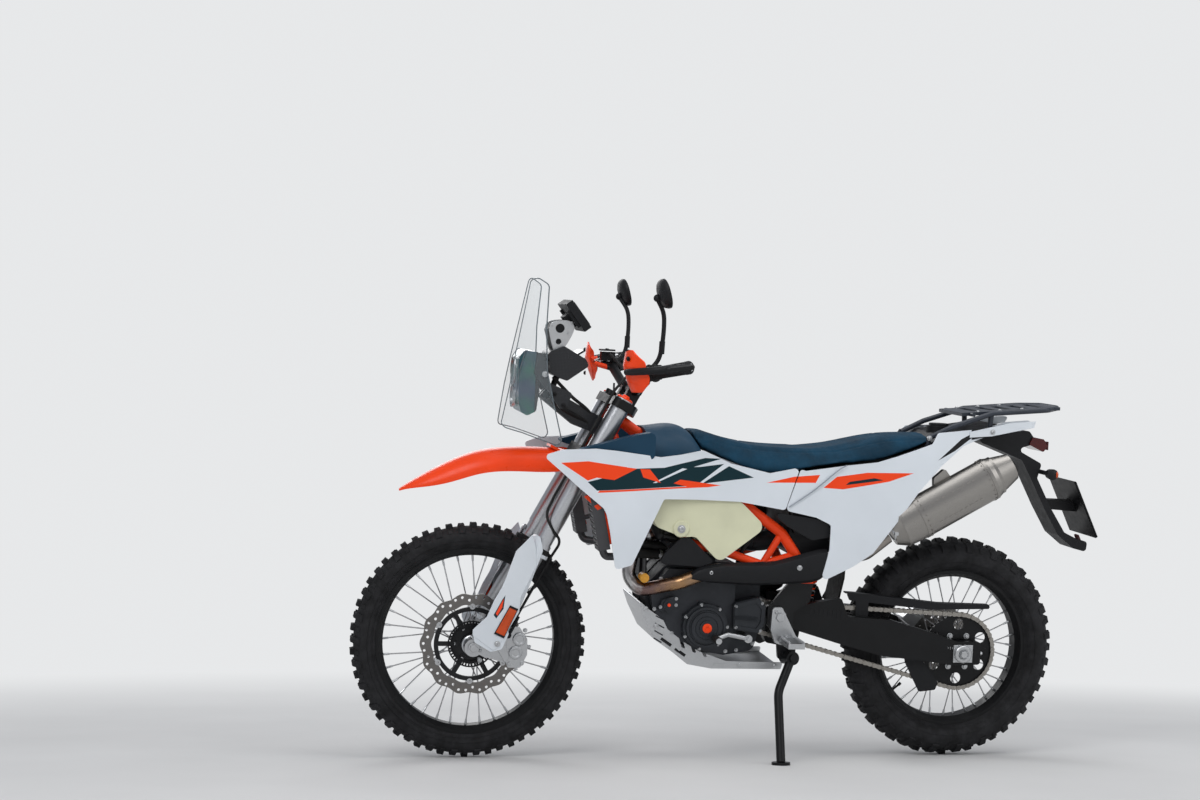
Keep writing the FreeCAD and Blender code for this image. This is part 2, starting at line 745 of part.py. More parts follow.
def stand_axis():
    """The side stand's pivot axis, chosen so the leg folds back along the machine."""
    foot = V(STAND_FOOT_X, STAND_FOOT_Y, STAND_FOOT_Y * TAN_LEAN + STAND_FOOT_THICK)
    down = (foot - STAND_PIVOT).normalize()
    stowed = V(STAND_STOWED.x, STAND_STOWED.y, STAND_STOWED.z).normalize()
    change = down - stowed
    axis = AXIS_Y - change * (AXIS_Y.dot(change) / change.dot(change))
    return axis.normalize(), down, foot


@lru_cache(maxsize=None)
def stand_boss():
    """The boss and bolt on the frame that carry the side stand."""
    axis, down, foot = stand_axis()
    boss = rod(STAND_PIVOT - axis * 27, STAND_PIVOT - axis * 0.5, 19)
    bolt = rod(STAND_PIVOT - axis * 2, STAND_PIVOT + axis * (STAND_EYE + 2), STAND_BOLT)
    head = rod(STAND_PIVOT + axis * (STAND_EYE + 0.5), STAND_PIVOT + axis * (STAND_EYE + 6), 12)
    return joined([boss, bolt, head])


@lru_cache(maxsize=None)
def side_stand():
    axis, down, foot = stand_axis()
    eye = rod(STAND_PIVOT, STAND_PIVOT + axis * STAND_EYE, 20)
    start = STAND_PIVOT + axis * (STAND_EYE / 2) + down * 6
    knee = V(606, 216, 245)
    leg = bent_tube([start, knee, foot], STAND_RADIUS, 90)
    ground = V(0, -TAN_LEAN, 1).normalize()
    pad = Part.makeCylinder(STAND_FOOT, STAND_FOOT_THICK, V(foot.x, foot.y, STAND_FOOT_Y * TAN_LEAN), ground)
    below = Part.makeCylinder(80, 60, V(foot.x, foot.y, STAND_FOOT_Y * TAN_LEAN), ground * -1)
    body = joined([eye, leg, pad]).cut(below)
    bore = rod(STAND_PIVOT - axis * 5, STAND_PIVOT + axis * (STAND_EYE + 5), STAND_BOLT + RUN_FIT)
    spot_face = rod(STAND_PIVOT + axis * STAND_EYE, STAND_PIVOT + axis * (STAND_EYE + 40), 15)
    return body.cut([bore, spot_face])


def drive_centre():
    return V(DRIVE_X, 0, DRIVE_Z)


def chain_line():
    """The pitch line's points, one for each link, round both sprockets, with the direction outward."""
    rear = CHAIN_PITCH / (2 * math.sin(math.pi / REAR_TEETH))
    front = CHAIN_PITCH / (2 * math.sin(math.pi / FRONT_TEETH))
    span = drive_centre() - V(REAR_AXLE.x, 0, REAR_AXLE.z)
    slope = math.atan2(span.z, span.x)
    spread = math.asin((rear - front) / span.Length)
    straight = span.Length * math.cos(spread)
    front_wrap = math.pi - 2 * spread
    rear_wrap = math.pi + 2 * spread
    round_all = 2 * straight + front * front_wrap + rear * rear_wrap
    links = 2 * int(round_all / CHAIN_PITCH / 2 + 0.5)
    points = []
    for i in range(links):
        s = (i + 0.5) * round_all / links
        if s < straight:
            angle = slope + math.pi / 2 - spread
            start, radius, ahead = REAR_AXLE, rear, s
        elif s < straight + front * front_wrap:
            angle = slope + math.pi / 2 - spread - (s - straight) / front
            start, radius, ahead = drive_centre(), front, 0
        elif s < 2 * straight + front * front_wrap:
            angle = slope - math.pi / 2 + spread
            start, radius, ahead = drive_centre(), front, s - straight - front * front_wrap
        else:
            angle = slope - math.pi / 2 + spread - (s - 2 * straight - front * front_wrap) / rear
            start, radius, ahead = REAR_AXLE, rear, 0
        out = V(math.cos(angle), 0, math.sin(angle))
        along = V(out.z, 0, -out.x)
        points.append((V(start.x, 0, start.z) + out * radius + along * ahead, out))
    return points


def chain_row(y, swell):
    """A row of side plates, its outline swelling at every other link."""
    wires = []
    for side in (1, -1):
        points = []
        for i, (p, out) in enumerate(chain_line()):
            rise = CHAIN_HEIGHT / 2 - swell * (i % 2)
            points.append(p + out * (side * rise) + AXIS_Y * y)
        wires.append(Part.makePolygon(points + points[:1]))
    outer = Part.Face(wires[0]).extrude(AXIS_Y * CHAIN_PLATE)
    inner = Part.Face(wires[1]).extrude(AXIS_Y * CHAIN_PLATE)
    return outer.cut(inner)


@lru_cache(maxsize=None)
def chain():
    """Two rows of side plates joined by pins along the straight runs."""
    half = CHAIN_GAP / 2
    rows = [chain_row(CHAIN_Y + half, CHAIN_SWELL), chain_row(CHAIN_Y - half - CHAIN_PLATE, 0)]
    pins = []
    for i, (p, out) in enumerate(chain_line()):
        clear_rear = p.x - REAR_AXLE.x > REAR_REACH
        clear_front = DRIVE_X - p.x > FRONT_REACH
        if clear_rear and clear_front and i % 6 == 0:
            pin = through(V(p.x, CHAIN_Y, p.z), 8, CHAIN_GAP + 1, 8, FreeCAD.Rotation())
            pins.append(pin)
    return rows[0].fuse([rows[1]] + pins).removeSplitter()


@lru_cache(maxsize=None)
def engine():
    """One upright cylinder on its crankcase."""
    case_outline = [(636, 560), (700, 590), (930, 596), (990, 530), (985, 470), (930, 392), (850, 345),
                    (740, 325), (650, 340), (632, 400)]
    case = side_plate(case_outline, -98, 68, 26)
    seams = []
    for y in (-104, -22, 62):
        middle = V(815, 0, 465)
        grown = [(middle.x + (x - middle.x) * 1.015, middle.z + (z - middle.z) * 1.015) for x, z in case_outline]
        seams.append(side_plate(grown if y < 0 else case_outline, y, y + 12, 26))
    nose = side_plate([(724, 585), (930, 590), (980, 525), (975, 475), (925, 400), (850, 352), (745, 335), (724, 400)],
                      64, 116, 20)
    turn = FreeCAD.Rotation(AXIS_Y, 8)
    barrel = through(V(846, -6, 630), 132, 150, 100, turn)
    ribs = []
    for i in range(4):
        ribs.append(through(V(842 + i * 2.6, -6, 608 + i * 17), 140, 156, 5, turn))
    head = side_plate([(780, 670), (905, 656), (935, 690), (922, 800), (880, 836), (800, 830), (770, 770)], -82, 70, 18)
    lid = side_plate([(774, 762), (928, 770), (926, 780), (774, 772)], -88, 76, 3)
    bosses = [cross_rod(x, z, 70, 78, 8) for x, z in ((795, 690), (912, 690), (905, 790), (795, 790))]
    head = joined([head, lid, cross_rod(852, 735, 70, 77, 30)] + bosses)
    outlet = rod(V(900, 40, 700), V(962, 44, 688), 26)
    collar = rod(V(934, 42, 693.5), V(944, 43, 691.5), 36)
    intake = rod(V(800, 0, 745), V(700, 0, 775), 26)
    shaft = cross_rod(DRIVE_X, DRIVE_Z, 60, CHAIN_Y + 12, 14)
    drive = sprocket(drive_centre(), FRONT_TEETH, CHAIN_Y, 13)
    body = joined([case, nose, barrel, head, outlet, collar, intake, shaft, drive] + seams + ribs)
    return body.cut([frame()])


def rim_bosses(x, z, y0, y1, reach, count):
    """Bolt bosses round a cover's edge."""
    bosses = []
    for i in range(count):
        angle = 2 * math.pi * (i + 0.5) / count
        bosses.append(cross_rod(x + reach * math.cos(angle), z + reach * math.sin(angle), y0, y1, 8))
    return bosses


@lru_cache(maxsize=None)
def engine_covers():
    """Round generator cover, water pump bump, sprocket cover and clutch cover."""
    stator = [cross_rod(816, 422, 116, 140, 68), cross_rod(816, 422, 140, 150, 60), cross_rod(816, 422, 150, 156, 46)]
    stator += [cross_rod(816, 422, 156, 160, 22)] + rim_bosses(816, 422, 116, 138, 66, 7)
    pump = side_plate([(936, 476), (962, 462), (950, 500), (912, 512), (900, 488)], 116, 138, 8)
    ribs = [cross_rod(932, 488, 138, 144, 14), cross_rod(932, 488, 144, 150, 7)]
    outline = [(732, 492), (730, 414), (650, 402), (634, 430), (632, 484), (656, 512)]
    cover = side_plate(outline, 106, 136, 14)
    raised = [(682 + (x - 682) * 0.94, 457 + (z - 457) * 0.94) for x, z in outline]
    sunk = [(682 + (x - 682) * 0.72, 457 + (z - 457) * 0.72) for x, z in outline]
    bead = side_plate(raised, 136, 140, 12).cut(side_plate(sunk, 136, 140, 9))
    clutch = [cross_rod(760, 430, -134, -104, 84), cross_rod(760, 430, -140, -134, 70)]
    clutch += [cross_rod(900, 440, -126, -104, 48)] + rim_bosses(760, 430, -128, -104, 80, 9)
    return Part.makeCompound([joined(stator + [pump] + ribs), joined([cover, bead]), joined(clutch)]).cut([engine()])


@lru_cache(maxsize=None)
def swingarm():
    beam = [(560, 492), (519, 488), (395, 511), (372, 455), (232, 445), (101, 408), (17, 380), (-60, 380), (-60, 310),
            (30, 308), (112, 320), (257, 335), (403, 374), (560, 420)]
    left = side_plate(beam, SWING_Y, SWING_Y + SWING_WIDTH, 10)
    boss = cross_rod(PIVOT_X, PIVOT_Z, SWING_Y, SWING_Y + SWING_WIDTH, 31)
    side = joined([left, boss])
    bridge = side_plate([(455, 452), (400, 452), (380, 430), (384, 384), (440, 384)], -SWING_Y, SWING_Y, 12)
    tube = cross_rod(PIVOT_X, PIVOT_Z, -CHAIN_Y + 14, CHAIN_Y - 14, 24)
    arms = joined([side, mirrored(side), bridge])
    axle = cross_rod(0, REAR_Z, -SWING_Y - SWING_WIDTH - 14, SWING_Y + SWING_WIDTH + 14, AXLE_RADIUS)
    nut_a = cross_rod(0, REAR_Z, SWING_Y + SWING_WIDTH, SWING_Y + SWING_WIDTH + 10, 18)
    body = joined([arms, axle, nut_a, mirrored(nut_a)])
    return Part.makeCompound([body.cut([frame(), engine()]), tube.cut([frame(), engine()])])


@lru_cache(maxsize=None)
def chain_guards():
    top = side_plate([(372, 524), (336, 522), (72, 494), (-92, 490), (-92, 478), (103, 474), (361, 500)],
                     CHAIN_Y + 12, CHAIN_Y + 16, 6)
    roof = side_plate([(372, 524), (336, 522), (72, 494), (-92, 490), (-92, 486), (72, 490), (336, 518), (372, 520)],
                      CHAIN_Y - 12, CHAIN_Y + 12)
    tab = side_plate([(300, 440), (340, 440), (340, 500), (300, 500)], CHAIN_Y + 12, CHAIN_Y + 16)
    foot = side_plate([(300, 430), (340, 430), (340, 462), (300, 462)], CHAIN_Y + 12, CHAIN_Y + 15)
    guide = side_plate([(178, 322), (122, 220), (70, 226), (62, 248), (120, 322)], CHAIN_Y + 11, CHAIN_Y + 15, 8)
    guide_low = side_plate([(122, 262), (70, 240), (70, 234), (122, 256)], CHAIN_Y - 11, CHAIN_Y + 11)
    slider = box(468, 540, CHAIN_Y - 12, SWING_Y, 456, 484)
    cover = joined([top, roof, tab, foot]).cut([swingarm()])
    return Part.makeCompound([cover, guide.cut([swingarm()]), slider.cut([chain(), swingarm()])])


@lru_cache(maxsize=None)
def shock():
    low = V(500, 0, 352)
    high = V(452, 0, 650)
    along = (high - low).normalize()
    body = rod(low, high, 14)
    spring = [rod(low + along * 70, low + along * 230, 24)]
    for i in range(8):
        spring.append(rod(low + along * (70 + i * 21.5), low + along * (80 + i * 21.5), 36))
    eye_top = cross_rod(high.x, high.z, -22, 22, 18)
    eye_low = cross_rod(low.x, low.z, -22, 22, 18)
    link = side_plate([(500, 336), (590, 352), (600, 372), (592, 430), (560, 420), (520, 372)], -20, 20, 8)
    return joined([body, eye_top, eye_low, link] + spring).cut([frame(), swingarm(), engine()])


@lru_cache(maxsize=None)
def rear_caliper():
    body = side_plate([(120, 420), (60, 470), (40, 440), (90, 380), (130, 380)], -112, -66, 8)
    slot = cross_rod(0, REAR_Z, REAR_DISC_Y - 8, REAR_DISC_Y + 8, REAR_DISC + 6)
    return body.cut([slot, swingarm()])


@lru_cache(maxsize=None)
def radiators():
    turn = FreeCAD.Rotation(AXIS_Y, 12)
    core = through(V(1162, 180, 738), 34, 64, 168, turn)
    grooves = []
    for i in range(9):
        middle = V(1162, 180, 738) + turn.multVec(V(20, 0, (i - 4) * 16.5))
        grooves.append(through(middle, 16, 54, 8, turn))
    core = core.cut(grooves)
    neck = bent_tube([V(1150, 176, 668), V(1136, 172, 632), V(1080, 144, 628)], 11, 20)
    stay = rod(V(1146, 160, 700), V(990, 92, 746), 7)
    return both(joined([core, neck, stay])).cut([frame()])


@lru_cache(maxsize=None)
def front_tank():
    outline = [(1050, 905), (1020, 800), (985, 720), (906, 692), (866, 694), (791, 619), (653, 725), (730, 796),
               (860, 850), (900, 918)]
    half = side_plate(outline, 62, 166, 24)
    half = half.fuse([cross_rod(800, 815, 160, 173, 7), cross_rod(930, 825, 160, 180, 7)])
    keep = [frame(), engine(), shrouds()]
    return both(half).cut(keep)


@lru_cache(maxsize=None)
def tank_cover():
    """The padded cover over the tank, with a wing each side that runs forward."""
    stations = [(850, 960, 905, 150), (890, 1004, 905, 155), (960, 1008, 908, 155), (1012, 1002, 912, 155)]
    middle = loft_arches(stations, 0)
    wing = side_plate([(1237, 939), (1156, 962), (1080, 984), (1006, 1000), (1006, 916), (1100, 930), (1200, 926)],
                      157, 196, 16)
    return joined([middle, wing, mirrored(wing)]).cut([frame(), front_tank(), shrouds()])


@lru_cache(maxsize=None)
def shrouds():
    """Front side panels from the radiator back to the rider's knee."""
    outline = [(1334, 923), (1283, 881), (1224, 831), (1157, 779), (1147, 761), (1135, 710), (1115, 603),
               (1065, 616), (973, 805), (868, 804), (740, 800), (600, 778), (560, 905), (650, 886), (769, 911),
               (856, 948), (923, 934), (986, 926), (1122, 943), (1183, 948), (1281, 942)]
    top = [(1350, 196), (1230, 214), (1100, 206), (950, 178), (800, 166), (540, 168)]
    low = [(1350, 214), (1230, 236), (1100, 232), (950, 196), (800, 176), (540, 176)]
    middle = [(x, (y0 + y1) / 2 + 5) for (x, y0), (x1, y1) in zip(low, top)]
    wall = skin([(560, low), (770, middle), (980, top)], AXIS_Y * -PANEL, False)
    panel = wall.common(side_plate(outline, 100, 300, 10))
    return both(panel)


@lru_cache(maxsize=None)
def side_panels():
    """Rear side panels under the seat, running back to the tail."""
    outline = [(598, 777), (505, 759), (459, 738), (460, 664), (483, 567), (383, 616), (322, 655), (245, 750),
               (181, 837), (107, 918), (29, 980), (-51, 1010), (-189, 1043), (-200, 1062), (-111, 1054), (-39, 1032),
               (123, 1018), (141, 984), (253, 946), (320, 927), (414, 916), (542, 896), (558, 900)]
    plan = [(610, 176), (480, 184), (380, 184), (240, 168), (110, 148), (0, 118), (-100, 100), (-220, 92)]
    wall = Part.Face(skin_wire(560, plan, AXIS_Y * -PANEL)).extrude(V(0, -8, 520))
    panel = wall.common(side_plate(outline, 40, 300, 12))
    return both(panel)


@lru_cache(maxsize=None)
def inner_covers():
    """Dark covers behind the panels: below the tank and in front of the rear tank."""
    low = side_plate([(956, 640), (908, 688), (878, 688), (802, 618), (848, 604), (969, 612)], 148, 160, 8)
    side = side_plate([(641, 771), (459, 748), (455, 700), (511, 690), (590, 730)], 158, 170, 8)
    stay_low = rod(V(950, 114, 674), V(938, 150, 664), 8)
    stay_side = cross_rod(500, 732, 130, 160, 9)
    pieces = Part.makeCompound([joined([low, stay_low]), joined([side, stay_side])])
    return both(pieces).cut([frame(), front_tank(), side_panels(), rear_tank()])


@lru_cache(maxsize=None)
def seat():
    """The padded saddle."""
    stations = [
        (872, 1000, 962, 96), (826, 991, 936, 118), (763, 972, 911, 138), (649, 953, 880, 150), (542, 950, 894, 150),
        (414, 962, 914, 146), (320, 983, 926, 140), (230, 1000, 950, 130), (120, 1014, 988, 112),
    ]
    wires = []
    for x, top, low, half in stations:
        points = [V(x, -half, low), V(x, half, low), V(x, half, low + 14), V(x, half * 0.7, top - 4), V(x, -half * 0.7, top - 4), V(x, -half, low + 14)]
        arch = Part.BSplineCurve()
        arch.interpolate([points[2], V(x, half * 0.82, top - 12), V(x, 0, top), V(x, -half * 0.82, top - 12), points[5]])
        edges = [Part.makeLine(points[0], points[1]), Part.makeLine(points[1], points[2]), arch.toShape()]
        edges.append(Part.makeLine(points[5], points[0]))
        wires.append(Part.Wire(edges))
    body = Part.makeLoft(wires, True, False)
    return body.cut([side_panels(), shrouds(), tank_cover(), rear_tank()])


@lru_cache(maxsize=None)
def rear_tank():
    """The fuel tank under the seat that carries the tail."""
    outline = [(575, 874), (560, 640), (500, 610), (470, 640), (400, 655), (330, 735), (262, 800), (196, 868),
               (120, 930), (40, 990), (-60, 1012), (-120, 1030), (-110, 1046), (-30, 1034), (100, 1012), (140, 980),
               (250, 940), (420, 908), (540, 888)]
    body = side_plate(outline, -112, 112, 16)
    ears = side_plate([(575, 870), (560, 700), (470, 700), (330, 800), (300, 880), (420, 900)], -140, 140, 20)
    return joined([body, ears]).cut([frame(), side_panels(), shock()])


@lru_cache(maxsize=None)
def fuel_cap():
    cap = Part.makeCylinder(38, 22, V(66, 0, 1008), AXIS_Z)
    ribs = Part.makeCylinder(30, 8, V(66, 0, 1030), AXIS_Z)
    return joined([cap, ribs]).cut([rear_tank(), seat()])


@lru_cache(maxsize=None)
def header_pipe():
    path = [V(962, 44, 688), V(1020, 46, 660), V(1042, 60, 560), V(1010, 92, 520), V(901, 150, 556), V(808, 152, 592),
            V(480, 152, 612), V(330, 140, 650), V(262, 132, 700)]
    return bent_tube(path, 20, 46).cut([engine(), frame(), engine_covers(), swingarm()])


@lru_cache(maxsize=None)
def heat_shield():
    outline = [(825, 596), (759, 606), (653, 610), (547, 650), (467, 660), (495, 556), (604, 556), (757, 560),
               (830, 570)]
    return side_plate(outline, 172.4, 176, 10)


@lru_cache(maxsize=None)
def muffler():
    """An oval can with a tapered end, high on the left."""
    front = V(222, 134, 728)
    rear = V(-92, 134, 906)
    along = (rear - front).normalize()
    stations = [(-34, 40, 24), (0, 62, 42), (60, 66, 46), (318, 66, 46), (340, 58, 40), (395, 42, 30)]
    wires = []
    for place, tall, wide in stations:
        centre = front + along * place
        ellipse = Part.Ellipse(ORIGIN, tall, wide)
        edge = ellipse.toShape()
        edge.Placement = FreeCAD.Placement(centre, FreeCAD.Rotation(along.cross(AXIS_Y), AXIS_Y, along, "ZXY"))
        wires.append(Part.Wire(edge))
    can = Part.makeLoft(wires, True, True)
    outlet = rod(front + along * 360, front + along * 400, 20)
    can = can.cut(outlet)
    bracket = side_plate([(60, 872), (120, 830), (124, 880), (90, 910)], 112, 130, 8)
    return joined([can, bracket]).cut([header_pipe(), side_panels(), rear_tank(), frame()])


@lru_cache(maxsize=None)
def skid_plate():
    outline = [(1019, 498), (985, 469), (941, 440), (925, 410), (874, 372), (827, 345), (742, 316), (566, 312),
               (571, 292), (787, 293), (861, 306), (912, 345), (965, 380), (999, 445)]
    outer = side_plate(outline, -118, 118, 4)
    inner = side_plate([(x - 5, z + 5) for x, z in outline], -113, 113, 4)
    slots = []
    for i in range(3):
        x = 800 + i * 34
        slot = [(x, 326 + i * 13), (x + 12, 330 + i * 13), (x + 22, 356 + i * 15), (x + 10, 352 + i * 15)]
        slots.append(side_plate(slot, -130, 130, 5))
    body = outer.cut(inner).cut(slots)
    return body.cut([engine(), engine_covers(), header_pipe(), frame()])


@lru_cache(maxsize=None)
def footpegs():
    bracket = side_plate([(617, 485), (588, 486), (540, 398), (556, 366), (604, 378), (620, 419)], 143, 156, 10)
    peg = box(546, 596, 170, 262, 382, 398)
    tang = box(556, 588, 150, 172, 376, 400)
    teeth = [box(540, 600, 178 + i * 16, 186 + i * 16, 392, 400) for i in range(5)]
    piece = joined([bracket, tang, peg.cut(teeth)]).cut([frame(), stand_boss()])
    return both(piece)


@lru_cache(maxsize=None)
def foot_controls():
    """The gear lever on the left and the brake pedal on the right."""
    boss = cross_rod(690, 392, 60, 150, 9)
    lever = bent_tube([V(690, 158, 392), V(752, 160, 404), V(790, 170, 392)], 7, 14)
    tip = cross_rod(790, 392, 160, 205, 9)
    gear = joined([boss, cross_rod(690, 392, 149, 166, 12), lever, tip])
    pivot = cross_rod(600, 372, -172, -143, 12)
    pedal = bent_tube([V(600, -164, 372), V(700, -168, 352), V(800, -176, 380)], 8, 14)
    pad = box(780, 822, -206, -168, 378, 392)
    brake = joined([pivot, pedal, pad])
    return Part.makeCompound([gear.cut([engine(), engine_covers()]), brake.cut([frame(), footpegs()])])


@lru_cache(maxsize=None)
def plate_carrier():
    outline = [(-34, 1018), (-215, 1026), (-236, 999), (-223, 983), (-176, 968), (-262, 925), (-250, 880),
               (-300, 790), (-352, 712), (-400, 690), (-431, 684), (-428, 652), (-385, 662), (-330, 704),
               (-280, 785), (-226, 884), (-196, 935), (-150, 952), (-60, 985)]
    body = side_plate(outline, -46, 46, 10)
    arms = cross_rod(-262, 900, -118, 118, 7)
    lamp = cross_rod(-262, 900, 104, 128, 15)
    return joined([body, arms, lamp, mirrored(lamp)]).cut([rear_tank(), side_panels(), tail_light()])


def plate_line():
    """The number plate's lower rear edge and its direction upward."""
    return V(-437, 0, 702), V(-352, 0, 876)


@lru_cache(maxsize=None)
def number_plate():
    low, high = plate_line()
    along = (high - low)
    face = Part.makePolygon([low + V(0, -90, 0), low + V(0, 90, 0), high + V(0, 90, 0), high + V(0, -90, 0),
                             low + V(0, -90, 0)])
    out = V(-along.z, 0, along.x).normalize()
    plate = Part.Face(face).extrude(out * 3)
    seat_low = low + along * 0.42
    seat_high = low + along * 0.62
    stay = side_plate([(-290, 782), (-290, 812), (seat_high.x, seat_high.z), (seat_low.x, seat_low.z)], -20, 20)
    return joined([plate, stay]).cut([plate_carrier()])


@lru_cache(maxsize=None)
def tail_light():
    return side_plate([(-214, 984), (-262, 962), (-276, 980), (-262, 1002), (-226, 1008)], -52, 52, 6)


def deck(x):
    """The height of the rack's underside."""
    return 1068 + (30 - x) * math.tan(math.radians(RACK_SLOPE))


@lru_cache(maxsize=None)
def luggage_rack():
    """A slotted plate on bent tubes over the tail."""
    rise = math.tan(math.radians(RACK_SLOPE))

    top = [(30, deck(30)), (-290, deck(-290)), (-290, deck(-290) + 10), (30, deck(30) + 10)]
    plate = side_plate(top, -92, 92)
    slots = []
    for i in range(5):
        x = -20 - i * 52
        slots.append(box(x - 24, x, -60, 60, 1040, 1140))
    out = V(rise, 0, 1).normalize()
    centre = V(RACK_HOLES_X, 0, deck(RACK_HOLES_X) + 10)
    holes = []
    for i in range(4):
        angle = math.radians(45 + 90 * i)
        ahead = V(1, 0, -rise).normalize() * (RACK_HOLES_PCD / 2 * math.cos(angle))
        p = centre + ahead + AXIS_Y * (RACK_HOLES_PCD / 2 * math.sin(angle))
        holes.append(rod(p - out * 30, p + out * 30, RACK_HOLE))
    plate = plate.cut(slots + holes)
    loops = []
    for side in (1, -1):
        path = [V(143, side * 116, 1000), V(70, side * 118, 1036), V(-60, side * 112, deck(-60) + 5),
                V(-240, side * 112, deck(-240) + 5), V(-296, side * 60, deck(-296) + 5), V(-296, 0, deck(-296) + 5)]
        loops.append(bent_tube(path, 8, 30))
    stays = []
    for x in (0, -120, -230):
        stays.append(cross_rod(x, deck(x) + 4, -112, 112, 6))
    legs = []
    for side in (1, -1):
        legs.append(rod(V(-60, side * 104, deck(-60)), V(-60, side * 96, 1024), 8))
        legs.append(rod(V(143, side * 116, 1002), V(143, side * 112, 962), 8))
    body = joined([plate] + loops + stays + legs).cut(holes)
    return body.cut([rear_tank(), side_panels(), seat()])


@lru_cache(maxsize=None)
def rally_tower():
    """Carbon cheeks on a narrow arm from the steering head."""
    arm = side_plate([(1128, 968), (1100, 1010), (1180, 1046), (1300, 1110), (1325, 1080), (1220, 1000)], 12, 22, 8)
    cheek = side_plate([(1320, 1205), (1305, 1124), (1236, 1096), (1250, 1060), (1270, 1046), (1300, 1090),
                        (1352, 1150), (1344, 1214)], 80, 86, 8)
    cross = [cross_rod(1288, 1092, -82, 82, 8), cross_rod(1318, 1160, -82, 82, 8)]
    dash = side_plate([(1309, 1212), (1262, 1232), (1196, 1196), (1186, 1176), (1250, 1130), (1300, 1150)],
                      -62, 62, 10)
    neck = rod(V(1288, 0, 1092), V(1270, 0, 1140), 9)
    body = joined([arm, mirrored(arm), cheek, mirrored(cheek), dash, neck] + cross)
    head = rod(steer_point(CLAMP_LOW, 0, 0), steer_point(FORK_TOP, 0, 0), HEAD_RADIUS)
    return body.cut([frame(), head])


@lru_cache(maxsize=None)
def headlight():
    housing = side_plate([(1339, 1212), (1322, 1176), (1332, 1117), (1340, 1040), (1366, 1026), (1385, 1036),
                          (1394, 1072), (1397, 1190), (1380, 1216)], -78, 78, 12)
    wells = []
    lenses = []
    for z, radius in ((1152, 46), (1078, 34)):
        wells.append(Part.makeCylinder(radius, 60, V(1378, 0, z), AXIS_X))
        lenses.append(Part.makeCylinder(radius * 0.8, 8, V(1374, 0, z), AXIS_X))
    housing = joined([housing.cut(wells)] + lenses)
    return housing.cut([rally_tower()])


@lru_cache(maxsize=None)
def windscreen():
    outline = [(1316, 1408), (1360, 1436), (1404, 1197), (1437, 991), (1381, 978), (1263, 939), (1300, 1080),
               (1318, 1160), (1322, 1284)]
    top = [(1300, 62), (1345, 52), (1376, 0)]
    low = [(1240, 118), (1360, 112), (1440, 0)]
    levels = []
    for z, front, rear, wide in ((930, 1452, 1240, 122), (1110, 1440, 1262, 118), (1280, 1400, 1290, 92),
                                 (1445, 1364, 1306, 66)):
        levels.append((z, front, rear, wide))
    outer = screen_body(levels, 0)
    inner = screen_body(levels, PANEL)
    shell = outer.cut(inner).common(side_plate(outline, -200, 200, 16))
    return shell.cut([headlight()])


def screen_body(levels, inset):
    """A solid with the screen's rounded plan at several heights."""
    wires = []
    for z, front, rear, wide in levels:
        f = front - inset
        w = wide - inset
        points = [V(rear, w, z), V(rear + (f - rear) * 0.55, w * 0.93, z), V(rear + (f - rear) * 0.9, w * 0.5, z),
                  V(f, 0, z)]
        points += [V(p.x, -p.y, p.z) for p in reversed(points[:3])]
        wires.append(Part.Wire([curve(points), Part.makeLine(points[-1], points[0])]))
    return Part.makeLoft(wires, True, True)


@lru_cache(maxsize=None)
def nav_mount():
    """A bracket above the dash with the device on it."""
    bracket = side_plate([(1307, 1277), (1296, 1295), (1246, 1308), (1233, 1280), (1262, 1228), (1285, 1219)],
                         -38, 38, 8)
    device = through(V(1232, 0, 1322), 28, 150, 92, FreeCAD.Rotation(AXIS_Y, -35))
    return joined([bracket, device]).cut([rally_tower()])


@lru_cache(maxsize=None)
def front_rim():
    return rim(FRONT_AXLE, FRONT_BEAD, FRONT_RIM_HALF)


@lru_cache(maxsize=None)
def rear_rim():
    return rim(REAR_AXLE, REAR_BEAD, REAR_RIM_HALF)


NODES = [
    frame, engine, engine_covers, radiators, front_tank, tank_cover, shrouds, side_panels, inner_covers, seat,
    rear_tank, fuel_cap, header_pipe, heat_shield, muffler, skid_plate, swingarm, chain, chain_guards, shock,
    plate_carrier, number_plate, tail_light, luggage_rack, footpegs, foot_controls, rally_tower, windscreen,
    headlight, nav_mount, rear_caliper,
    triple_clamps, fork_tubes, fork_sliders, fork_guards, front_fender, handlebar, grips, handguards,
    control_levers, mirrors, front_caliper, brake_hose,
    front_tyre, front_rim, front_hub, front_disc,
    rear_tyre, rear_rim, rear_hub, rear_sprocket, rear_disc,
    side_stand,
]


OUTERMOST = ["front_tyre", "number_plate", "handguards"]


def lean_over(shape):
    """Leans an upright piece on its stand."""
    shape.rotate(ORIGIN, AXIS_X, -LEAN)
    return shape


def build():
    """Every piece leaned over, with the origin on the ground below the middle."""
    shapes = {}
    whole = FreeCAD.BoundBox()
    for make in NODES:
        shapes[make.__name__] = lean_over(make().copy())
    for name in OUTERMOST:
        whole.add(shapes[name].optimalBoundingBox(False, False))
    shift = V(-whole.Center.x, -whole.Center.y, 0)
    for shape in shapes.values():
        shape.translate(shift)
    return shapes, shift


def main():
    os.makedirs("parts", exist_ok=True)
    shapes, shift = build()
    for name, shape in shapes.items():
        shape.exportStep("parts/" + name + ".step")


if __name__ == "__main__":
    main()
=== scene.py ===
import bmesh
import bpy
import math
from mathutils import Matrix, Vector


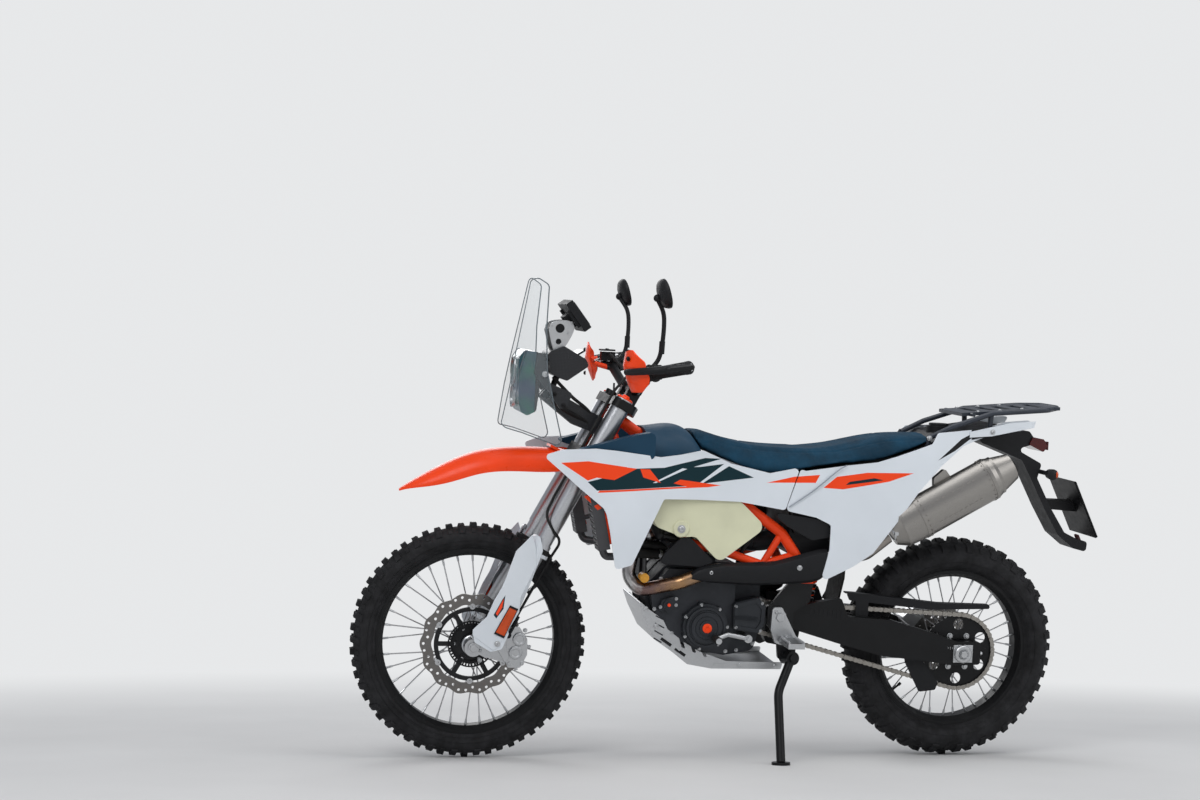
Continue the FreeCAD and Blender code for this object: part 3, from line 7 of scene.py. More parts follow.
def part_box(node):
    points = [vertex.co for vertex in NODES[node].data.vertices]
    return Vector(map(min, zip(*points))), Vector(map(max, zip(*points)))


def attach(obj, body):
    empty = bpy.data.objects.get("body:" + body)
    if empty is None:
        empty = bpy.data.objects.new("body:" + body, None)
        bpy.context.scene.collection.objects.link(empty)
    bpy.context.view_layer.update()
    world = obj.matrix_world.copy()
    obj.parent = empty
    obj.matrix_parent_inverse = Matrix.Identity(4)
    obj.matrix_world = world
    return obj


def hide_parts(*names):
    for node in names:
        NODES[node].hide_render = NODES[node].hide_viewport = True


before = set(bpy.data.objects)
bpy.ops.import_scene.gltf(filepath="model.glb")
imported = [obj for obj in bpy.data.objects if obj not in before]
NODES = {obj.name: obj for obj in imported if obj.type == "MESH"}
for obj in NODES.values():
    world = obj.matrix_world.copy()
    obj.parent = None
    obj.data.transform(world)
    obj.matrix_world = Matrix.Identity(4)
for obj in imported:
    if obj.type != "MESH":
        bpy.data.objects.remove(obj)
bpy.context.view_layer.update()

# The machine's own upright frame, in millimetres from the rear axle, as the model's source has it
WHEELBASE = 1500.0
LEAN = math.radians(9.7)
RAKE = math.radians(27.7)
AXLE_LEAD = 55.0
CLAMP_OFFSET = 27.3
LEG_Y = 103.0
FRONT = {"radius": 351.0, "crown": 46.0, "bead": 266.0, "half": 30.0, "pitches": 30, "tread": 12.0}
REAR = {"radius": 343.0, "crown": 68.0, "bead": 232.0, "half": 40.0, "pitches": 24, "tread": 14.0}
CHAIN_PITCH = 15.875
CHAIN_Y = 87.0
REAR_TEETH = 45
FRONT_TEETH = 16
FRONT_Z = FRONT["radius"] - FRONT["crown"] + FRONT["crown"] / math.cos(LEAN)
REAR_Z = REAR["radius"] - REAR["crown"] + REAR["crown"] / math.cos(LEAN)
FRONT_AXLE = Vector((WHEELBASE, 0, FRONT_Z))
REAR_AXLE = Vector((0, 0, REAR_Z))
DRIVE = Vector((667, 0, 450))
STEER_UP = Vector((-math.sin(RAKE), 0, math.cos(RAKE)))
STEER_AHEAD = Vector((math.cos(RAKE), 0, math.sin(RAKE)))
ACROSS = Vector((0, 1, 0))
SIDES = ((1, "left"), (-1, "right"))
SPOKES = 36
JOINT_BALL = 11
HOSE_CLAMP = 16.6
SEAT_VOXEL = 0.009
SEAT_INSET = 0.003
SEAT_PUFF = 0.006
CLOTH_FRAMES = 20

tyre_low, tyre_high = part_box("front_tyre")
SHIFT_X = (tyre_low[0] + tyre_high[0]) * 500 - WHEELBASE
SHIFT_Y = (tyre_low[1] + tyre_high[1]) * 500 - FRONT_Z * math.sin(LEAN)
TO_ROW = (
    Matrix.Scale(0.001, 4)
    @ Matrix.Translation((SHIFT_X, SHIFT_Y, 0))
    @ Matrix.Rotation(-LEAN, 4, "X")
)


def steer(along, ahead, y):
    """A point given along the steering axis, ahead of it and to the left."""
    return FRONT_AXLE + STEER_UP * along + STEER_AHEAD * (ahead - AXLE_LEAD) + Vector((0, y, 0))


def spline(points, steps):
    """Points along a smooth line through the given ones."""
    line = [Vector(p) for p in points]
    line = [line[0] * 2 - line[1]] + line + [line[-1] * 2 - line[-2]]
    out = []
    for i in range(1, len(line) - 2):
        a, b, c, d = line[i - 1:i + 3]
        for k in range(steps):
            t = k / steps
            out.append(0.5 * (2 * b + (c - a) * t + (2 * a - 5 * b + 4 * c - d) * t * t
                              + (3 * b - 3 * c + d - a) * t ** 3))
    out.append(line[-2])
    return out


def basis(direction):
    """Two directions square to one, and itself."""
    n = Vector(direction).normalized()
    u = n.orthogonal().normalized()
    return u, n.cross(u), n


# Materials

class Paint:
    """A material under construction: a Principled shader with helpers for its nodes."""

    def __init__(self, name, color, rough=0.5, metal=0.0, **sockets):
        self.mat = bpy.data.materials.new(name)
        self.mat.use_nodes = True
        self.tree = self.mat.node_tree
        self.bsdf = self.tree.nodes["Principled BSDF"]
        self.bsdf.inputs["Base Color"].default_value = (*color, 1)
        self.bsdf.inputs["Roughness"].default_value = rough
        self.bsdf.inputs["Metallic"].default_value = metal
        for key, value in sockets.items():
            self.bsdf.inputs[key.replace("_", " ")].default_value = value
        self.mat.diffuse_color = (*color, 1)
        self.coords = self.tree.nodes.new("ShaderNodeTexCoord").outputs["Object"]
        self.normal = None
        self.own = None

    def node(self, kind, inputs=(), **values):
        node = self.tree.nodes.new(kind)
        for key, value in values.items():
            setattr(node, key, value)
        for key, value in inputs:
            self.put(node.inputs[key], value)
        return node

    def put(self, socket, value):
        """Links a socket to another node's output, or sets its value."""
        if isinstance(value, bpy.types.NodeSocket):
            self.tree.links.new(value, socket)
        elif isinstance(value, tuple) and len(value) == 3 and socket.type == "RGBA":
            socket.default_value = (*value, 1)
        else:
            socket.default_value = value

    def math(self, operation, a, b=0.0, clamp=False):
        return self.node("ShaderNodeMath", ((0, a), (1, b)), operation=operation, use_clamp=clamp).outputs[0]

    def scaled(self, scale):
        """Stretched coordinates, for grain with a direction."""
        node = self.node("ShaderNodeMapping", (("Vector", self.coords), ("Scale", scale)))
        return node.outputs["Vector"]

    def bike(self):
        """Coordinates in the machine's own frame, in millimetres."""
        if self.own is None:
            place = TO_ROW.inverted().to_translation()
            node = self.node("ShaderNodeMapping", (
                ("Vector", self.coords), ("Scale", (1000, 1000, 1000)), ("Rotation", (LEAN, 0, 0)),
                ("Location", tuple(place))))
            split = self.node("ShaderNodeSeparateXYZ", ((0, node.outputs["Vector"]),))
            self.own = node.outputs["Vector"], split.outputs
        return self.own

    def noise(self, scale, detail=3.0, rough=0.5, vector=None):
        node = self.node("ShaderNodeTexNoise", (
            ("Vector", vector or self.coords), ("Scale", scale), ("Detail", detail), ("Roughness", rough)))
        return node.outputs["Fac"]

    def ramp(self, fac, low, high, dark, light):
        """A colour from dark to light as a texture goes from low to high."""
        node = self.node("ShaderNodeMapRange", (("Value", fac), ("From Min", low), ("From Max", high)))
        return self.mix(node.outputs["Result"], dark, light)

    def spread(self, fac, low, high):
        """A number between two values as a texture goes from 0.25 to 0.75."""
        node = self.node("ShaderNodeMapRange", (
            ("Value", fac), ("From Min", 0.25), ("From Max", 0.75), ("To Min", low), ("To Max", high)))
        return node.outputs["Result"]

    def mix(self, fac, a, b):
        node = self.node("ShaderNodeMix", ((0, fac), (6, a), (7, b)), data_type="RGBA")
        return node.outputs[2]

    def color(self, value):
        self.put(self.bsdf.inputs["Base Color"], value)
        return self

    def rough(self, value):
        self.put(self.bsdf.inputs["Roughness"], value)
        return self

    def metal(self, value):
        self.put(self.bsdf.inputs["Metallic"], value)
        return self

    def bump(self, height, strength=0.3, distance=0.001):
        node = self.node("ShaderNodeBump",
                         (("Strength", strength), ("Distance", distance), ("Height", height)))
        if self.normal is not None:
            self.put(node.inputs["Normal"], self.normal)
        self.normal = node.outputs["Normal"]
        self.put(self.bsdf.inputs["Normal"], self.normal)
        return self

    def finished(self, sheen, low, high, grain, strength, distance):
        """The material, with uneven sheen and fine grain."""
        self.rough(self.spread(self.noise(*sheen), low, high))
        self.bump(self.noise(*grain), strength, distance)
        return self.mat

    def side(self, x, z, offset):
        """How far a point lies inside a line drawn on the machine's side."""
        vector = self.bike()[0]
        dot = self.node("ShaderNodeVectorMath", ((0, vector), (1, (x, 0.0, z))), operation="DOT_PRODUCT")
        return self.math("ADD", dot.outputs["Value"], offset)

    def patch(self, outline):
        """A mask for a convex patch of (x, z) corners on the machine's side."""
        centre = sum((Vector(p) for p in outline), Vector((0, 0))) / len(outline)
        least = None
        for a, b in zip(outline, outline[1:] + outline[:1]):
            a = Vector(a)
            edge = Vector(b) - a
            out = Vector((-edge.y, edge.x)).normalized()
            if out.dot(centre - a) < 0:
                out = -out
            inside = self.side(out.x, out.y, -out.dot(a))
            least = inside if least is None else self.math("MINIMUM", least, inside)
        return self.math("ADD", self.math("MULTIPLY", least, 1.5), 0.5, clamp=True)


def tint(color, share):
    """A darker or paler neighbour of a colour."""
    return tuple(min(1.0, c * share) for c in color)


def painted(name, color, rough=0.45, metal=0.0, grain=900, depth=0.2, gloss=0.25):
    """Painted or cast metal: fine grain, slight mottling and uneven sheen."""
    p = Paint(name, color, rough, metal, Specular_IOR_Level=gloss)
    p.color(p.ramp(p.noise(14, 4), 0.3, 0.75, tint(color, 0.84), tint(color, 1.16)))
    return p.finished((60, 3), rough - 0.06, rough + 0.1, (grain, 2), depth, 0.0004)


def brushed(name, color, rough=0.32, along=(1, 12, 12), scale=260, metal=1.0):
    """Metal with fine lines in one direction."""
    p = Paint(name, color, rough, metal)
    lines = p.noise(scale, 2, 0.6, p.scaled(along))
    p.color(p.ramp(lines, 0.25, 0.8, tint(color, 0.8), tint(color, 1.15)))
    p.rough(p.spread(lines, rough - 0.08, rough + 0.12))
    p.bump(lines, 0.12, 0.0002)
    return p.mat


def moulded(name, color, rough=0.4, grain=0.0, coat=0.0):
    """Moulded plastic, glossy or grained."""
    p = Paint(name, color, rough, 0.0, Coat_Weight=coat, Coat_Roughness=0.12, Specular_IOR_Level=0.25)
    p.color(p.ramp(p.noise(9, 3), 0.3, 0.7, tint(color, 0.92), tint(color, 1.05)))
    return p.finished((45, 4), rough - 0.05, rough + 0.09, (1400 if grain else 60, 2), grain or 0.03, 0.0003)


def rubber(name, color=(0.010, 0.010, 0.011), rough=0.8):
    """Matt rubber with a little dust in it."""
    p = Paint(name, color, rough, Specular_IOR_Level=0.3)
    p.color(p.ramp(p.noise(26, 6), 0.35, 0.72, tint(color, 0.7), tint(color, 2.0)))
    return p.finished((90, 3), rough - 0.12, rough + 0.1, (700, 3), 0.3, 0.0004)


ORANGE = (0.90, 0.060, 0.008)
WHITE = (0.70, 0.745, 0.79)
TEAL = (0.0, 0.021, 0.029)
NAVY = (0.003, 0.029, 0.056)
BLACK = (0.007, 0.0073, 0.008)


def graphic_white():
    """White panels with an orange wedge and a dark, slashed band."""
    p = Paint("white_panel", WHITE, 0.34, 0.0, Specular_IOR_Level=0.22)
    base = p.ramp(p.noise(5, 3), 0.3, 0.7, tint(WHITE, 0.95), tint(WHITE, 1.02))
    layers = [
        (TEAL, [(1206, 853), (1178, 829), (905, 843), (860, 900), (1060, 893)]),
        (TEAL, [(915, 843), (700, 872), (792, 910), (905, 894)]),
        (TEAL, [(1000, 890), (905, 893), (800, 925), (850, 926)]),
        (WHITE, [(1010, 852), (1000, 852), (905, 893), (919, 895)]),
        (WHITE, [(872, 848), (861, 849), (775, 905), (792, 910)]),
        (ORANGE, [(1284, 905), (1206, 912), (1090, 897), (1206, 857)]),
        (ORANGE, [(1140, 902), (1060, 893), (1128, 860), (1180, 866)]),
        (ORANGE, [(1050, 892), (1020, 891), (985, 852), (1040, 868)]),
        (ORANGE, [(1176, 823), (1171, 829), (800, 847), (840, 841)]),
        (ORANGE, [(900, 841), (800, 847), (925, 862), (945, 851)]),
        (ORANGE, [(660, 858), (577, 878), (500, 886), (512, 862)]),
        (ORANGE, [(488, 848), (448, 882), (353, 896), (200, 896), (281, 870), (428, 845)]),
        (TEAL, [(420, 858), (408, 868), (330, 880), (300, 874)]),
        (BLACK, [(120, 935), (40, 1000), (-30, 1032), (-12, 1014), (60, 965)]),
    ]
    for color, outline in layers:
        base = p.mix(p.patch(outline), base, color)
    p.color(base)
    return p.finished((40, 4), 0.28, 0.36, (6, 2), 0.02, 0.001)


def hub_metal(name, axle, flange):
    """A dark hub whose spokes are bright."""
    p = Paint(name, BLACK, 0.4, Specular_IOR_Level=0.3)
    x, y, z = p.bike()[1]
    dx = p.math("POWER", p.math("SUBTRACT", x, axle.x), 2.0)
    dz = p.math("POWER", p.math("SUBTRACT", z, axle.z), 2.0)
    out = p.math("GREATER_THAN", p.math("SQRT", p.math("ADD", dx, dz)), flange)
    near = p.math("LESS_THAN", p.math("ABSOLUTE", y), 44.0)
    spoke = p.math("MULTIPLY", out, near)
    grain = p.noise(50, 3)
    dark = p.ramp(grain, 0.3, 0.7, tint(BLACK, 0.8), tint(BLACK, 1.6))
    bright = p.ramp(grain, 0.3, 0.7, (0.42, 0.42, 0.43), (0.62, 0.62, 0.63))
    p.color(p.mix(spoke, dark, bright))
    p.metal(spoke)
    p.rough(p.spread(grain, 0.28, 0.42))
    p.bump(p.noise(900, 2), 0.1, 0.0003)
    return p.mat


def heat_tinted():
    """Bent steel pipe, straw and bronze by the engine and greyer further back."""
    p = Paint("header_steel", (0.3, 0.2, 0.12), 0.3, 1.0)
    x = p.bike()[1][0]
    place = p.math("ADD", p.math("DIVIDE", p.math("SUBTRACT", x, 780.0), 300.0),
                   p.math("MULTIPLY", p.noise(30, 4), 0.35))
    color = p.ramp(place, 0.1, 0.55, (0.30, 0.275, 0.25), (0.40, 0.235, 0.12))
    color = p.mix(p.ramp(place, 0.62, 0.85, (0, 0, 0), (1, 1, 1)), color, (0.20, 0.13, 0.12))
    color = p.mix(p.ramp(place, 0.92, 1.05, (0, 0, 0), (1, 1, 1)), color, (0.58, 0.57, 0.56))
    p.color(color)
    return p.finished((90, 3), 0.22, 0.42, (500, 2), 0.1, 0.0003)


def weave():
    """Dark moulded sheet with a faint diagonal weave under lacquer."""
    p = Paint("carbon_grey", (0.01, 0.011, 0.013), 0.35, 0.0, Specular_IOR_Level=0.4)
    vector = p.bike()[0]
    turned = p.node("ShaderNodeMapping", (("Vector", vector), ("Rotation", (0, math.radians(45), 0))))
    check = p.node("ShaderNodeTexChecker", (("Vector", turned.outputs["Vector"]), ("Scale", 0.33)))
    p.color(p.ramp(check.outputs["Fac"], 0.0, 1.0, (0.008, 0.0085, 0.010), (0.020, 0.022, 0.026)))
    p.rough(p.spread(p.noise(60, 3), 0.25, 0.4))
    p.bump(check.outputs["Fac"], 0.08, 0.0003)
    return p.mat


def seat_cloth():
    """Grippy seat fabric: fine pebble, with sewn ribs across the middle."""
    p = Paint("navy_seat", NAVY, 0.85, 0.0, Specular_IOR_Level=0.2)
    x, y, _ = p.bike()[1]
    rib = p.math("SINE", p.math("MULTIPLY", x, 0.28))
    middle = p.math("LESS_THAN", p.math("ABSOLUTE", y), 92.0)
    along = p.math("MULTIPLY", p.math("LESS_THAN", x, 690.0), p.math("GREATER_THAN", x, 250.0))
    ribs = p.math("MULTIPLY", p.math("MULTIPLY", middle, along), p.math("MULTIPLY_ADD", rib, 0.5))
    pebble = p.node("ShaderNodeTexVoronoi", (("Vector", p.coords), ("Scale", 900.0)))
    p.color(p.ramp(p.noise(18, 5), 0.3, 0.75, tint(NAVY, 0.75), tint(NAVY, 1.5)))
    p.rough(p.spread(p.noise(120, 3), 0.72, 0.92))
    p.bump(pebble.outputs["Distance"], 0.35, 0.0004)
    p.bump(ribs, 0.35, 0.0016)
    return p.mat


def clear_sheet(name, color, alpha):
    """Clear plastic sheet, a little scuffed."""
    p = Paint(name, color, 0.08, 0.0, IOR=1.3, Alpha=alpha)
    p.rough(p.spread(p.noise(12, 5), 0.05, 0.12))
    p.color(p.ramp(p.noise(4, 2), 0.3, 0.7, tint(color, 0.97), color))
    p.bump(p.noise(3, 1), 0.04, 0.002)
    return p.mat


def split_paint(name, color, rough, inside):
    """Paint that is black outside a place on the machine."""
    p = Paint(name, color, rough, 0.0, Specular_IOR_Level=0.25)
    grain = p.noise(14, 4)
    light = p.ramp(grain, 0.3, 0.75, tint(color, 0.86), tint(color, 1.1))
    dark = p.ramp(grain, 0.3, 0.75, tint(BLACK, 0.8), tint(BLACK, 1.4))
    p.color(p.mix(inside(p), dark, light))
    return p.finished((60, 3), rough - 0.06, rough + 0.1, (800, 2), 0.08, 0.0003)


def frame_orange(p):
    """The trellis is orange above the swing arm's plates and behind the tank's front lug."""
    x, _, z = p.bike()[1]
    low = p.math("GREATER_THAN", z, 556.0)
    ahead = p.math("MAXIMUM", p.math("LESS_THAN", x, 905.0), p.math("GREATER_THAN", z, 728.0))
    return p.math("MULTIPLY", low, ahead)


def shield_orange(p):
    """Only the hand shields are orange, and their arms black."""
    x, y, _ = p.bike()[1]
    ahead = p.math("GREATER_THAN", x, 1076.0)
    return p.math("MULTIPLY", ahead, p.math("LESS_THAN", p.math("ABSOLUTE", y), 394.0))


def guard_white():
    """White fork guards with a small orange and dark leaf at the front edge."""
    p = Paint("guard_white", (0.68, 0.72, 0.76), 0.34, 0.0, Specular_IOR_Level=0.35)
    base = p.ramp(p.noise(5, 3), 0.3, 0.7, (0.64, 0.68, 0.72), (0.70, 0.74, 0.78))
    base = p.mix(p.patch([(1416, 510), (1424, 498), (1448, 452), (1440, 442), (1420, 470)]), base, TEAL)
    base = p.mix(p.patch([(1420, 500), (1428, 486), (1442, 456), (1437, 450), (1424, 474)]), base, ORANGE)
    p.color(base)
    return p.finished((40, 4), 0.28, 0.36, (6, 2), 0.02, 0.001)


def lit_lens():
    """A lamp's lens with a violet to green film, in a black housing."""
    p = Paint("lamp_lens", (0.03, 0.05, 0.08), 0.08, 0.1, Specular_IOR_Level=0.4)
    x, _, z = p.bike()[1]
    wave = p.math("MULTIPLY_ADD", p.math("SINE", p.math("MULTIPLY", z, 0.05)), 0.5)
    color = p.ramp(wave, -0.4, 0.6, (0.045, 0.02, 0.11), (0.004, 0.10, 0.065))
    color = p.mix(p.ramp(p.noise(14, 3), 0.4, 0.65, (0, 0, 0), (1, 1, 1)), color, (0.012, 0.03, 0.07))
    front = p.math("GREATER_THAN", x, 1346.0)
    p.color(p.mix(front, BLACK, color))
    p.rough(p.spread(p.noise(30, 2), 0.06, 0.14))
    return p.mat


MAT = {
    "frame": split_paint("frame_paint", (0.88, 0.058, 0.008), 0.34, frame_orange),
    "coil": painted("coil_paint", (0.88, 0.058, 0.008), 0.34, 0.0, 700, 0.08),
    "shields": split_paint("shield_plastic", ORANGE, 0.32, shield_orange),
    "engine": painted("engine_cast", (0.034, 0.037, 0.043), 0.55, 0.35, 700, 0.5, 0.4),
    "cover": painted("engine_cover", (0.023, 0.026, 0.031), 0.42, 0.25, 800, 0.3, 0.4),
    # Dark blue-grey satin paint; its blue tint is partly a painted reflection of the sky on the rack's top.
    "rack": painted("rack_satin_and_painted_sky", (0.020, 0.026, 0.038), 0.38, 0.0, 900, 0.2, 0.45),
    "black": painted("black_metal", BLACK, 0.4, 0.1, 900, 0.12),
    "plastic": moulded("black_plastic", (0.008, 0.0085, 0.010), 0.5, 0.35),
    "seam": moulded("panel_seam", (0.30, 0.33, 0.37), 0.5, 0.1),
    "white": graphic_white(),
    "guard": guard_white(),
    "orange": moulded("orange_plastic", ORANGE, 0.3),
    "cream": moulded("tank_cream", (0.68, 0.68, 0.48), 0.45, 0.2),
    "alloy": brushed("machined_alloy", (0.55, 0.56, 0.57), 0.34),
    "skid": brushed("skid_aluminium", (0.55, 0.56, 0.57), 0.4, (1, 1, 14)),
    "fork": brushed("fork_silver", (0.55, 0.56, 0.58), 0.28, (12, 12, 1)),
    "steel": brushed("disc_steel", (0.20, 0.19, 0.18), 0.34, (4, 4, 4)),
    "chain": brushed("chain_steel", (0.36, 0.34, 0.31), 0.38, (4, 4, 4)),
    "header": heat_tinted(),
    "muffler": brushed("muffler_metal", (0.33, 0.315, 0.295), 0.33, (1, 10, 10)),
    "carbon": weave(),
    "tyre": rubber("tyre_rubber"),
    "rubber": rubber("black_rubber", (0.008, 0.008, 0.008), 0.7),
    "navy": moulded("navy_cover", (0.007, 0.042, 0.082), 0.55, 0.3),
    "seat": seat_cloth(),
    "lens": moulded("tail_lens", (0.07, 0.003, 0.004), 0.12, 0.0, 0.3),
    "amber": moulded("amber_lens", (0.55, 0.065, 0.008), 0.15, 0.0, 0.3),
    "cap": moulded("filler_cap", (0.80, 0.38, 0.05), 0.4, 0.1),
    "plate": moulded("blank_plate", (0.006, 0.006, 0.007), 0.4),
    "radiator": brushed("radiator_core", (0.10, 0.10, 0.105), 0.5, (1, 1, 30)),
    "lamp": moulded("lamp_housing", (0.006, 0.007, 0.009), 0.2, 0.0, 0.4),
    "lit": lit_lens(),
    "screen": clear_sheet("clear_screen", (0.62, 0.70, 0.74), 0.07),
    "edge": clear_sheet("screen_edge", (0.16, 0.19, 0.21), 0.75),
    "glass": brushed("mirror_glass", (0.75, 0.77, 0.8), 0.03, (1, 1, 1), 4),
    "front_hub": hub_metal("front_hub_metal", FRONT_AXLE, 35.0),
    "rear_hub": hub_metal("rear_hub_metal", REAR_AXLE, 45.0),
}
LOOKS = {
    "frame": "frame", "engine": "engine", "engine_covers": "cover", "radiators": "radiator",
    "front_tank": "cream",
    "tank_cover": "navy", "shrouds": "white", "side_panels": "white", "inner_covers": "plastic",
    "seat": "seat",
    "rear_tank": "plastic", "fuel_cap": "plastic", "header_pipe": "header", "heat_shield": "carbon",
    "muffler": "muffler", "skid_plate": "skid", "swingarm": "black", "chain": "chain",
    "chain_guards": "plastic",
    "shock": "black", "plate_carrier": "plastic", "number_plate": "plate", "tail_light": "lens",
    "luggage_rack": "rack", "footpegs": "alloy", "foot_controls": "alloy", "rally_tower": "carbon",
    "windscreen": "screen", "headlight": "lit", "nav_mount": "plastic", "rear_caliper": "alloy",
    "triple_clamps": "black", "fork_tubes": "fork", "fork_sliders": "alloy", "fork_guards": "guard",
    "front_fender": "orange", "handlebar": "black", "grips": "rubber", "handguards": "shields",
    "control_levers": "black", "mirrors": "plastic", "front_caliper": "alloy", "brake_hose": "rubber",
    "front_tyre": "tyre", "front_rim": "black", "front_hub": "front_hub", "front_disc": "steel",
    "rear_tyre": "tyre", "rear_rim": "black", "rear_hub": "rear_hub", "rear_sprocket": "black",
    "rear_disc": "steel", "side_stand": "black",
}
for name, look in LOOKS.items():
    slots = NODES[name].data.materials
    slots.clear()
    slots.append(MAT[look])


# Making meshes

class Build:
    """A mesh under construction, in the machine's own millimetres."""

    def __init__(self):
        self.bm = bmesh.new()

    def skin(self, rings, loop=False):
        """Joins rings of points by faces."""
        rows = [[self.bm.verts.new(p) for p in ring] for ring in rings]
        count = len(rows[0])
        pairs = list(zip(rows, rows[1:]))
        if loop:
            pairs.append((rows[-1], rows[0]))
        for a, b in pairs:
            for i in range(count):
                j = (i + 1) % count
                self.bm.faces.new((a[i], a[j], b[j], b[i]))
        if not loop:
            self.bm.faces.new(rows[0][::-1])
            self.bm.faces.new(rows[-1])

    def tube(self, points, radius, sides=12, steps=6):
        """A round bar along a smooth line, with one radius or one for each end."""
        line = spline(points, steps) if steps else [Vector(p) for p in points]
        ends = radius if isinstance(radius, tuple) else (radius, radius)
        side = None
        rings = []
        for i, p in enumerate(line):
            along = (line[min(i + 1, len(line) - 1)] - line[max(i - 1, 0)]).normalized()
            side = along.orthogonal() if side is None else side - along * side.dot(along)
            side.normalize()
            other = along.cross(side)
            r = ends[0] + (ends[1] - ends[0]) * i / (len(line) - 1)
            rings.append([p + (side * math.cos(t) + other * math.sin(t)) * r for t in turns(sides)])
        self.skin(rings)

    def rod(self, a, b, radius, sides=20):
        self.tube([a, b], radius, sides, 0)

    def box(self, centre, size, turn=None, taper=1.0):
        """A block, turned by a matrix, its upper face a share of the lower one."""
        turn = turn or Matrix.Identity(3)
        rings = []
        for up, share in ((-0.5, 1.0), (0.5, taper)):
            corners = ((-0.5, -0.5), (0.5, -0.5), (0.5, 0.5), (-0.5, 0.5))
            rings.append([Vector(centre) + turn @ Vector((size[0] * x * share, size[1] * y * share,
                                                          size[2] * up))
                          for x, y in corners])
        self.skin(rings)

    def revolve(self, centre, axis, section, sides=48):
        """A ring or disc from a closed section of (radius, along) points."""
        u, v, n = basis(axis)
        rings = []
        for t in turns(sides):
            out = u * math.cos(t) + v * math.sin(t)
            rings.append([Vector(centre) + out * r + n * y for r, y in section])
        self.skin(rings, loop=True)

    def plate(self, outline, y0, y1, holes=(), bevel=0.0, place=None):
        """A plate seen from the side, from (x, z) points, with holes."""
        curve = bpy.data.curves.new("outline", "CURVE")
        curve.dimensions = "2D"
        curve.fill_mode = "BOTH"
        curve.extrude = abs(y1 - y0) / 2 - bevel
        curve.bevel_depth = bevel
        curve.bevel_resolution = 1
        for points in (outline, *holes):
            line = curve.splines.new("POLY")
            line.points.add(len(points) - 1)
            for point, (x, z) in zip(line.points, points):
                point.co = (x, z, 0, 1)
            line.use_cyclic_u = True
        shape = bpy.data.objects.new("outline", curve)
        mesh = bpy.data.meshes.new_from_object(shape)
        mesh.transform(Matrix(((1, 0, 0, 0), (0, 0, -1, (y0 + y1) / 2), (0, 1, 0, 0), (0, 0, 0, 1))))
        if place is not None:
            mesh.transform(place)
        self.bm.from_mesh(mesh)
        bpy.data.objects.remove(shape)
        bpy.data.curves.remove(curve)
        bpy.data.meshes.remove(mesh)

    def bolt(self, place, axis, radius, height=5.0, kind="hex"):
        """A bolt head on a washer, with a six-sided head or a domed one with a socket."""
        u, v, n = basis(axis)
        p = Vector(place)
        self.revolve(p, n, [(0.1, -2), (radius * 1.35, -2), (radius * 1.35, 1.2), (0.1, 1.2)], 20)
        if kind == "hex":
            rings = []
            for up, share in ((1, 1.0), (height * 0.8, 1.0), (height, 0.88)):
                rings.append([p + (u * math.cos(t) + v * math.sin(t)) * radius * share + n * up
                              for t in turns(6)])
            self.skin(rings)
            return
        dome = [(0.42, height), (0.75, height), (0.98, height * 0.7), (1.0, 1)]
        section = [(0.1, height * 0.45), (radius * 0.4, height * 0.45)]
        section += [(radius * share, up) for share, up in dome] + [(0.1, 1)]
        self.revolve(p, n, section, 18)

    def bolts(self, places, y, *rest):
        """Bolts alike at several (x, z) places."""
        for x, z in places:
            self.bolt((x, y, z), *rest)

    def done(self, name, look, body="chassis", bevel=0.0, smooth=38, instead=()):
        """The finished piece, leaned over, with its look and what it moves with; the next starts empty."""
        bmesh.ops.recalc_face_normals(self.bm, faces=self.bm.faces)
        self.bm.transform(TO_ROW)
        mesh = bpy.data.meshes.new(name)
        self.bm.to_mesh(mesh)
        self.bm.free()
        mesh.materials.append(MAT[look])
        mesh.shade_smooth()
        mesh.set_sharp_from_angle(angle=math.radians(smooth))
        piece = bpy.data.objects.new(name, mesh)
        bpy.context.scene.collection.objects.link(piece)
        if bevel:
            edge = piece.modifiers.new("edge", "BEVEL")
            edge.width = bevel * 0.001
            edge.segments = 2
            edge.limit_method = "ANGLE"
            edge.angle_limit = math.radians(40)
        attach(piece, body)
        if instead:
            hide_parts(*instead)
        self.bm = bmesh.new()


def turns(count, start=0.0):
    """Angles round a full turn."""
    return [start + 2 * math.pi * i / count for i in range(count)]


def circle(x, z, radius, count=16):
    return [(x + radius * math.cos(t), z + radius * math.sin(t)) for t in turns(count)]


def wheel_point(axle, radius, angle, y):
    """A point round a wheel, the angle turning forward and down."""
    return axle + Vector((radius * math.cos(angle), y, -radius * math.sin(angle)))


# Wheels

